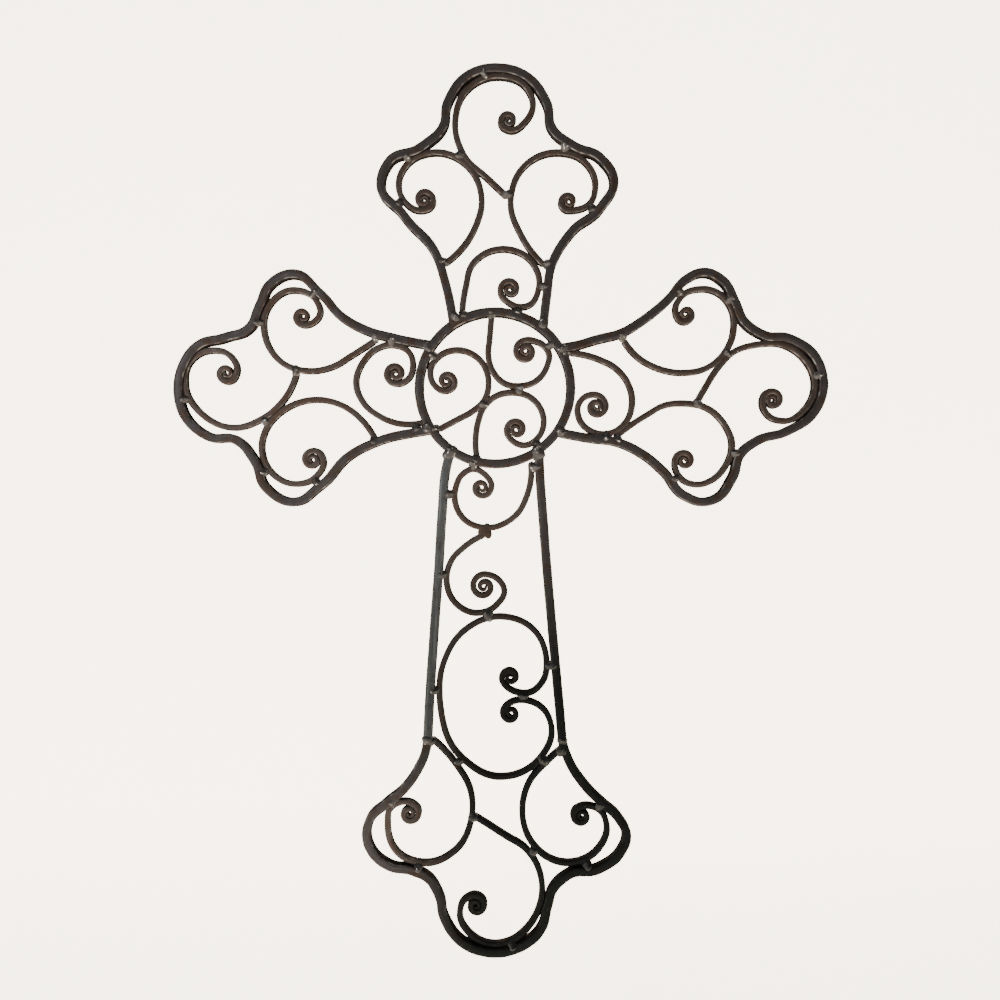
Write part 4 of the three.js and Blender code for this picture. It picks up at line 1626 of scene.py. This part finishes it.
@dataclass
class LeftArm(Arm):
    """The left arm."""

    reach: float = 192.7
    width: float = 142.5
    bars: tuple[Bar, ...] = (
        Bar(
            "left_arm_frame", Section.LEFT, Heft.FRAME,
            (
                (0.559, -0.818, Section.RING), (0.032, 0.403), (0.113, 0.44), (0.193, 0.483),
                (0.322, 0.626), (0.41, 0.826), (0.522, 0.999), (0.615, 0.914), (0.664, 0.709),
                (0.705, 0.526), (0.811, 0.438), (0.912, 0.378), (0.986, 0.166), (1, -0.004),
                (0.964, -0.274), (0.876, -0.424), (0.755, -0.464), (0.683, -0.639), (0.635, -0.876),
                (0.522, -0.999), (0.406, -0.851), (0.289, -0.596), (0.161, -0.461), (0, -0.385),
                (-0.554, -0.831, Section.RING),
            ),
            welds=(
                Weld("centre_ring", 0.55, -0.91, Section.RING, size=1.2),
                Weld("centre_ring", -0.53, -0.93, Section.RING, size=1.2),
            ),
        ),
        Bar(
            "left_upper_scroll", Section.LEFT, Heft.SCROLL,
            (
                (0.193, 0.394), (0.273, 0.285), (0.354, 0.183), (0.45, 0.144), (0.571, 0.225),
                (0.636, 0.438), (0.627, 0.691), (0.52, 0.85), (0.422, 0.75), (0.41, 0.639),
                (0.434, 0.573),
            ),
            eye=Eye(0.48, 0.618, 0.075, -80, Hand.CLOCKWISE),
            welds=(
                Weld("left_arm_frame", 0.68, 0.56), Weld("left_arm_frame", 0.44, 0.81),
                Weld("left_arm_frame", 0.18, 0.42),
            ),
        ),
        Bar(
            "left_lower_scroll", Section.LEFT, Heft.SCROLL,
            (
                (0.189, -0.427), (0.241, -0.274), (0.289, -0.19), (0.422, -0.107), (0.554, -0.19),
                (0.635, -0.376), (0.651, -0.517), (0.615, -0.732), (0.515, -0.842), (0.429, -0.784),
            ),
            eye=Eye(0.44, -0.631, 0.093, 0, Hand.ANTICLOCKWISE),
            welds=(
                Weld("left_arm_frame", 0.64, -0.75), Weld("left_arm_frame", 0.42, -0.83),
                Weld("left_arm_frame", 0.19, -0.46),
            ),
        ),
        Bar(
            "left_end_scroll", Section.LEFT, Heft.SCROLL,
            (
                (0.51, 0.115), (0.545, -0.066), (0.643, -0.266), (0.774, -0.35), (0.904, -0.223),
                (0.968, 0.013), (0.944, 0.234), (0.86, 0.323), (0.786, 0.285),
            ),
            eye=Eye(0.796, 0.124, 0.087, 0, Hand.CLOCKWISE),
            welds=(
                Weld("left_upper_scroll", 0.51, 0.13, size=1.1), Weld("left_lower_scroll", 0.64, -0.3),
                Weld("left_arm_frame", 0.98, -0.11),
            ),
        ),
        Bar(
            "left_base_scroll", Section.LEFT, Heft.SCROLL,
            (
                (-0.008, -0.307), (0.063, -0.32), (0.164, -0.25), (0.225, -0.147), (0.26, 0.044),
                (0.233, 0.216), (0.183, 0.328), (0.113, 0.372), (0.042, 0.311), (0.024, 0.193),
                (0.046, 0.07),
            ),
            eye=Eye(0.096, 0.123, 0.093, -80, Hand.CLOCKWISE),
            welds=(
                Weld("left_arm_frame", 0.11, 0.41), Weld("left_arm_frame", 0.01, -0.36),
            ),
        ),
    )

    def along(self) -> tuple[float, float]:
        """Gives the arm's direction, left."""
        return (-1, 0)


@dataclass
class RightArm(Arm):
    """The right arm."""

    reach: float = 199.7
    width: float = 143.2
    bars: tuple[Bar, ...] = (
        Bar(
            "right_arm_frame", Section.RIGHT, Heft.FRAME,
            (
                (0.52, 0.831, Section.RING), (-0.006, 0.357), (0.124, 0.433), (0.186, 0.466),
                (0.305, 0.62), (0.399, 0.802), (0.448, 0.932), (0.53, 1.006), (0.607, 0.923),
                (0.65, 0.749), (0.687, 0.578), (0.76, 0.464), (0.868, 0.427), (0.955, 0.305), (1, 0.047),
                (0.955, -0.235), (0.852, -0.383), (0.745, -0.455), (0.674, -0.575), (0.641, -0.779),
                (0.576, -0.964), (0.522, -0.994), (0.452, -0.941), (0.361, -0.715), (0.301, -0.602),
                (0.186, -0.475), (0.076, -0.44), (-0.58, 0.804, Section.RING),
            ),
            welds=(
                Weld("centre_ring", 0.53, 0.92, Section.RING, size=1.2),
                Weld("centre_ring", -0.6, 0.9, Section.RING, size=1.2),
            ),
        ),
        Bar(
            "right_upper_scroll", Section.RIGHT, Heft.SCROLL,
            (
                (0.215, 0.392), (0.262, 0.266), (0.333, 0.174), (0.438, 0.128), (0.532, 0.166),
                (0.607, 0.3), (0.642, 0.488), (0.631, 0.697), (0.571, 0.832), (0.515, 0.856),
                (0.444, 0.806),
            ),
            eye=Eye(0.452, 0.636, 0.082, 180, Hand.ANTICLOCKWISE),
            welds=(
                Weld("right_arm_frame", 0.42, 0.84), Weld("right_arm_frame", 0.63, 0.78),
                Weld("right_arm_frame", 0.2, 0.43),
            ),
        ),
        Bar(
            "right_lower_scroll", Section.RIGHT, Heft.SCROLL,
            (
                (0.189, -0.408), (0.293, -0.247), (0.373, -0.153), (0.438, -0.137), (0.545, -0.189),
                (0.607, -0.323), (0.635, -0.479), (0.607, -0.695), (0.559, -0.802), (0.5, -0.843),
                (0.436, -0.793),
            ),
            eye=Eye(0.448, -0.636, 0.084, -170, Hand.CLOCKWISE),
            welds=(
                Weld("right_arm_frame", 0.65, -0.57), Weld("right_arm_frame", 0.41, -0.8),
                Weld("right_arm_frame", 0.19, -0.44),
            ),
        ),
        Bar(
            "right_end_scroll", Section.RIGHT, Heft.SCROLL,
            (
                (0.502, -0.113), (0.525, -0.024), (0.582, 0.173), (0.642, 0.307), (0.738, 0.375),
                (0.837, 0.37), (0.921, 0.249), (0.962, 0.052), (0.928, -0.18), (0.845, -0.29),
                (0.775, -0.235),
            ),
            eye=Eye(0.796, -0.109, 0.091, -170, Hand.CLOCKWISE),
            welds=(
                Weld("right_upper_scroll", 0.62, 0.29), Weld("right_lower_scroll", 0.5, -0.13, size=1.1),
                Weld("right_arm_frame", 0.98, 0.11),
            ),
        ),
        Bar(
            "right_base_scroll", Section.RIGHT, Heft.SCROLL,
            (
                (0.448, 1.018, Section.RING), (0.108, 0.246), (0.178, 0.165), (0.226, 0.031),
                (0.242, -0.122), (0.215, -0.305), (0.147, -0.4), (0.076, -0.375), (0.031, -0.261),
                (0.03, -0.148), (0.056, -0.08),
            ),
            eye=Eye(0.101, -0.166, 0.089, 50, Hand.CLOCKWISE),
            welds=(
                Weld("centre_ring", 0.49, 0.97, Section.RING), Weld("right_arm_frame", 0.14, -0.42),
            ),
        ),
    )

    def along(self) -> tuple[float, float]:
        """Gives the arm's direction, right."""
        return (1, 0)


@dataclass
class Shaft(SubAssembly):
    """The tapering shaft: two posts and the scrolls between them.

    Args:
        reach: from the ring's centre to the foot of the posts, in millimetres.
        width: width over the posts at their foot.
        root: radius of the ring that it starts from.
    """

    reach: float = 211.0
    width: float = 86.3
    root: float = CentreRing.radius
    bars: tuple[Bar, ...] = (
        Bar(
            "left_post", Section.SHAFT, Heft.FRAME,
            (
                (-0.804, -0.58, Section.RING), (0.008, -0.719), (0.188, -0.79), (0.349, -0.829),
                (0.606, -0.904), (0.86, -0.973), (1, -1),
            ),
            welds=(
                Weld("centre_ring", -0.9, -0.62, Section.RING, size=1.6),
            ),
        ),
        Bar(
            "right_post", Section.SHAFT, Heft.FRAME,
            (
                (-0.818, 0.58, Section.RING), (0.095, 0.683), (0.189, 0.713), (0.331, 0.757),
                (0.606, 0.854), (0.86, 0.95), (1, 1),
            ),
            welds=(
                Weld("centre_ring", -0.9, 0.6, Section.RING, size=1.6),
            ),
        ),
        Bar(
            "shaft_upper_scroll", Section.SHAFT, Heft.SCROLL,
            (
                (0.005, 0.526), (0.098, 0.498), (0.196, 0.267), (0.232, -0.104), (0.2, -0.46),
                (0.142, -0.588), (0.084, -0.579), (0.037, -0.475), (0.02, -0.327), (0.039, -0.149),
            ),
            eye=Eye(0.087, -0.196, 0.143, 0, Hand.CLOCKWISE),
            welds=(
                Weld("right_post", 0.01, 0.58, size=1.2), Weld("left_post", 0.11, -0.68),
                Weld("centre_ring", -1.03, -0.3, Section.RING),
            ),
        ),
        Bar(
            "shaft_middle_scroll", Section.SHAFT, Heft.SCROLL,
            (
                (0.263, -0.193), (0.297, -0.434), (0.358, -0.661), (0.425, -0.717), (0.505, -0.582),
                (0.54, -0.273), (0.512, 0.021), (0.457, 0.138), (0.419, 0.049), (0.404, -0.062),
            ),
            eye=Eye(0.445, -0.166, 0.178, 110, Hand.ANTICLOCKWISE, 0.7),
            welds=(
                Weld("shaft_upper_scroll", 0.25, -0.14, size=1.45, joint=Joint.WEB),
                Weld("left_post", 0.4, -0.76),
            ),
        ),
        Bar(
            "shaft_large_scroll", Section.SHAFT, Heft.SCROLL,
            (
                (0.824, 0.297), (0.827, 0.52), (0.785, 0.713), (0.711, 0.763), (0.595, 0.55),
                (0.553, 0.104), (0.602, -0.446), (0.729, -0.772), (0.856, -0.817), (1.056, -0.52),
                (1.132, 0.104), (1.066, 0.668), (0.958, 0.839), (0.882, 0.694), (0.857, 0.487),
                (0.857, 0.297),
            ),
            eye=Eye(0.903, 0.235, 0.134, 120, Hand.ANTICLOCKWISE),
            first_eye=Eye(0.773, 0.23, 0.143, -120, Hand.CLOCKWISE),
            welds=(
                Weld("shaft_middle_scroll", 0.55, -0.1, size=1.3), Weld("left_post", 0.82, -0.88),
                Weld("right_post", 0.73, 0.83, size=1.2), Weld("shaft_large_scroll", 0.841, 0.42),
            ),
        ),
    )

    def area(self) -> Area:
        """Gives the shaft's area."""
        half = (self.width - STOCKS[Heft.FRAME].thickness) / 2
        return Area((0, -1), (1, 0), self.root, self.reach, half)

    def finish(self, bar: Bar) -> Finish:
        """Gives the left post its lighter, bluer copy of the iron, a painted sheen of the light from the
        left.
        """
        return Finish.POST if bar.name == "left_post" else SubAssembly.finish(self, bar)


@dataclass
class Foot(SubAssembly):
    """The lobed foot below the posts.

    Args:
        top: from the ring's centre to the foot of the posts, in millimetres.
        reach: from the ring's centre to the lowest edge.
        width: width over the lobes.
    """

    top: float = Shaft.reach
    reach: float = 341.4
    width: float = 161.5
    bars: tuple[Bar, ...] = (
        Bar(
            "foot_frame", Section.FOOT, Heft.FRAME,
            (
                (0.983, -1, Section.SHAFT), (0.058, -0.534), (0.138, -0.591), (0.227, -0.692),
                (0.302, -0.838), (0.368, -0.954), (0.448, -0.988), (0.533, -0.938), (0.594, -0.808),
                (0.615, -0.638), (0.65, -0.515), (0.73, -0.431), (0.834, -0.392), (0.944, -0.269),
                (0.991, -0.115), (1, 0.031), (0.97, 0.208), (0.89, 0.354), (0.777, 0.408),
                (0.702, 0.446), (0.636, 0.562), (0.605, 0.808), (0.533, 0.962), (0.458, 1.012),
                (0.359, 0.938), (0.298, 0.826), (0.232, 0.715), (0.1, 0.569),
                (0.99, 0.99, Section.SHAFT),
            ),
            welds=(
                Weld("left_post", 1, -1.01, Section.SHAFT, size=1.1),
                Weld("right_post", 1, 1, Section.SHAFT, size=1.1),
            ),
        ),
        Bar(
            "foot_left_scroll", Section.FOOT, Heft.SCROLL,
            (
                (1.001, -0.906, Section.SHAFT), (0.11, -0.3), (0.241, -0.185), (0.354, -0.177),
                (0.514, -0.3), (0.575, -0.527), (0.514, -0.762), (0.396, -0.823), (0.319, -0.8),
                (0.292, -0.738),
            ),
            eye=Eye(0.342, -0.654, 0.08, 75, Hand.CLOCKWISE),
            welds=(
                Weld("foot_frame", 0.3, -0.78), Weld("foot_frame", 0.59, -0.58),
                Weld("foot_frame", 0.01, -0.48), Weld("shaft_large_scroll", 0.1, -0.28),
            ),
        ),
        Bar(
            "foot_right_scroll", Section.FOOT, Heft.SCROLL,
            (
                (1.034, 0.965, Section.SHAFT), (0.104, 0.39), (0.19, 0.269), (0.312, 0.211),
                (0.481, 0.285), (0.544, 0.392), (0.574, 0.546), (0.509, 0.792), (0.406, 0.858),
                (0.331, 0.808), (0.309, 0.742),
            ),
            eye=Eye(0.354, 0.664, 0.075, 90, Hand.ANTICLOCKWISE),
            welds=(
                Weld("foot_frame", 0.59, 0.72), Weld("foot_frame", 0.31, 0.8),
                Weld("shaft_large_scroll", 1.07, 0.72, Section.SHAFT, size=1.3),
                Weld("foot_frame", 1.04, 0.95, Section.SHAFT, size=1.2),
            ),
        ),
        Bar(
            "foot_end_scroll", Section.FOOT, Heft.SCROLL,
            (
                (0.359, -0.146), (0.436, 0.054), (0.519, 0.254), (0.624, 0.346), (0.763, 0.35),
                (0.876, 0.254), (0.944, 0.108), (0.955, -0.038), (0.906, -0.192), (0.815, -0.269),
                (0.744, -0.227),
            ),
            eye=Eye(0.772, -0.146, 0.075, 80, Hand.CLOCKWISE),
            welds=(
                Weld("foot_left_scroll", 0.36, -0.16, size=1.1), Weld("foot_right_scroll", 0.53, 0.28),
                Weld("foot_frame", 0.97, 0.14),
            ),
        ),
    )

    def area(self) -> Area:
        """Gives the foot's area."""
        stock = STOCKS[Heft.FRAME].thickness
        return Area((0, -1), (1, 0), self.top, self.reach - stock / 2, (self.width - stock) / 2)


@dataclass(frozen=True)
class Camera:
    """The camera, square to the front of the cross as in the photograph.

    Args:
        across: its place across, in metres.
        height: its height, from the hanging point.
        distance: from the plane of the bars' backs.
        lens: focal length in millimetres.
        sensor: sensor width in millimetres.
    """

    across: float = 0.0012
    height: float = -0.259
    distance: float = 0.455
    lens: float = 27.07
    sensor: float = 36.0

    def place(self) -> bpy.types.Object:
        """Makes the scene's camera.

        Returns:
            The camera.
        """
        data = bpy.data.cameras.new("camera")
        data.lens, data.sensor_width = self.lens, self.sensor
        data.clip_start, data.clip_end = 0.01, 20.0
        made = bpy.data.objects.new("camera", data)
        bpy.context.scene.collection.objects.link(made)
        made.location = (self.across, -self.distance, self.height)
        made.rotation_euler = (math.pi / 2, 0.0, 0.0)
        bpy.context.scene.camera = made
        return made


@dataclass(frozen=True)
class Lamp:
    """A soft square light.

    Args:
        name: the light.
        at: its place in metres.
        power: its power in watts.
        size: its side in metres.
        colour: its colour.
    """

    name: str
    at: tuple[float, float, float]
    power: float
    size: float
    colour: tuple[float, float, float] = (1.0, 1.0, 1.0)

    def place(self, target: tuple[float, float, float]) -> bpy.types.Object:
        """Makes the light and turns it towards a point.

        Args:
            target: the point.

        Returns:
            The light.
        """
        data = bpy.data.lights.new(self.name, "AREA")
        data.energy, data.size, data.color = self.power, self.size, self.colour
        made = bpy.data.objects.new(self.name, data)
        bpy.context.scene.collection.objects.link(made)
        made.location = self.at
        away = [a - b for a, b in zip(self.at, target)]
        flat = math.hypot(away[0], away[1])
        turn = math.atan2(away[1], away[0]) + math.pi / 2
        made.rotation_euler = (math.atan2(flat, away[2]), 0.0, turn)
        return made


@dataclass(frozen=True)
class Studio:
    """A plain pale floor that curves up into a far wall, and soft light.

    Args:
        wall: distance of the wall behind the cross, in metres.
        floor: height of the floor.
        curve: radius of the curve between them.
        half_width: half the width of the sweep.
        front: how far the floor comes forward.
        top: height of the wall's upper edge.
        sky: brightness of the surroundings.
        glow: how strongly the lit paper shines.
        lamps: the lights.
        lit: the point that they are turned towards.
        steps: flats of the curve.
    """

    wall: float = 1.0
    floor: float = -1.35
    curve: float = 0.5
    half_width: float = 9.0
    front: float = -9.0
    top: float = 6.0
    sky: float = 0.27
    glow: float = 3.9
    lit: tuple[float, float, float] = (0.0, 0.0, -0.26)
    lamps: tuple[Lamp, ...] = (
        Lamp("window", (-1.1, -1.9, 0.15), 27.0, 0.7),
        Lamp("low_left", (-1.1, -0.6, -0.75), 9.0, 0.5, (1.0, 0.97, 0.93)),
        Lamp("top", (0.2, -1.4, 1.3), 5.0, 0.6, (1.0, 0.97, 0.94)),
    )
    steps: int = 24

    def sweep(self) -> bpy.types.Object:
        """Makes the floor and wall in one sheet.

        Returns:
            The sheet.
        """
        line = [(self.front, self.floor)]
        for k in range(self.steps + 1):
            angle = math.pi / 2 * k / self.steps
            line.append((
                self.wall - self.curve + self.curve * math.sin(angle),
                self.floor + self.curve - self.curve * math.cos(angle),
            ))
        line.append((self.wall, self.top))
        points = [(x, y, z) for y, z in line for x in (-self.half_width, self.half_width)]
        faces = [(2 * k, 2 * k + 1, 2 * k + 3, 2 * k + 2) for k in range(len(line) - 1)]
        mesh = bpy.data.meshes.new("sweep")
        mesh.from_pydata(points, [], faces)
        mesh.polygons.foreach_set("use_smooth", [True] * len(faces))
        mesh.materials.append(self.paper())
        made = bpy.data.objects.new("sweep", mesh)
        bpy.context.scene.collection.objects.link(made)
        return made

    def paper(self) -> bpy.types.Material:
        """Makes the sweep's pale paper.

        Returns:
            The material.
        """
        sheet = Sheet("pale_paper")
        tone = sheet.mix(sheet.noise(3.0, 3.0), (0.95, 0.86, 0.73), (0.98, 0.91, 0.8))
        sheet.join(tone, sheet.shader.inputs["Base Color"])
        sheet.join(tone, sheet.shader.inputs["Emission Color"])
        sheet.shader.inputs["Emission Strength"].default_value = self.glow
        sheet.shader.inputs["Roughness"].default_value = 0.9
        return sheet.material

    def surroundings(self) -> None:
        """Lights the scene evenly from all round."""
        world = bpy.data.worlds.new("soft_surroundings")
        world.use_nodes = True
        back = world.node_tree.nodes["Background"]
        back.inputs["Color"].default_value = (1.0, 0.97, 0.93, 1.0)
        back.inputs["Strength"].default_value = self.sky
        bpy.context.scene.world = world

    def build(self) -> None:
        """Makes the sweep, the surroundings and the lights."""
        self.sweep()
        self.surroundings()
        for lamp in self.lamps:
            lamp.place(self.lit)


def main() -> None:
    """Builds the cross and its studio, and reports each piece."""
    logging.basicConfig(level=logging.INFO, format="%(name)s: %(message)s")
    Camera().place()
    ring, top, shaft, foot = CentreRing(), TopArm(), Shaft(), Foot()
    left, right = LeftArm(), RightArm()
    areas = {
        Section.RING: ring.area(),
        Section.TOP: top.area(),
        Section.LEFT: left.area(),
        Section.RIGHT: right.area(),
        Section.SHAFT: shaft.area(),
        Section.FOOT: foot.area(),
    }
    middle = np.array([right.reach - left.reach, top.reach - foot.reach]) / 2
    smith = Smith(areas, middle)
    parts = (ring, top, left, right, shaft, foot)
    lines = {"centre_ring": ring.line()}
    for part in parts:
        lines.update({bar.name: smith.lay_out(bar) for bar in part.bars if bar.places})
    forge, paints = Forge(lines, top.hanging_point(smith), smith), Paints()
    for part in parts:
        pieces = part.build(forge)
        part.dress(pieces, paints)
        for piece in pieces:
            log.info("%s: %s, %d faces", type(part).__name__, piece.name, len(piece.data.polygons))
    Studio().build()


if __name__ == "__main__":
    main()
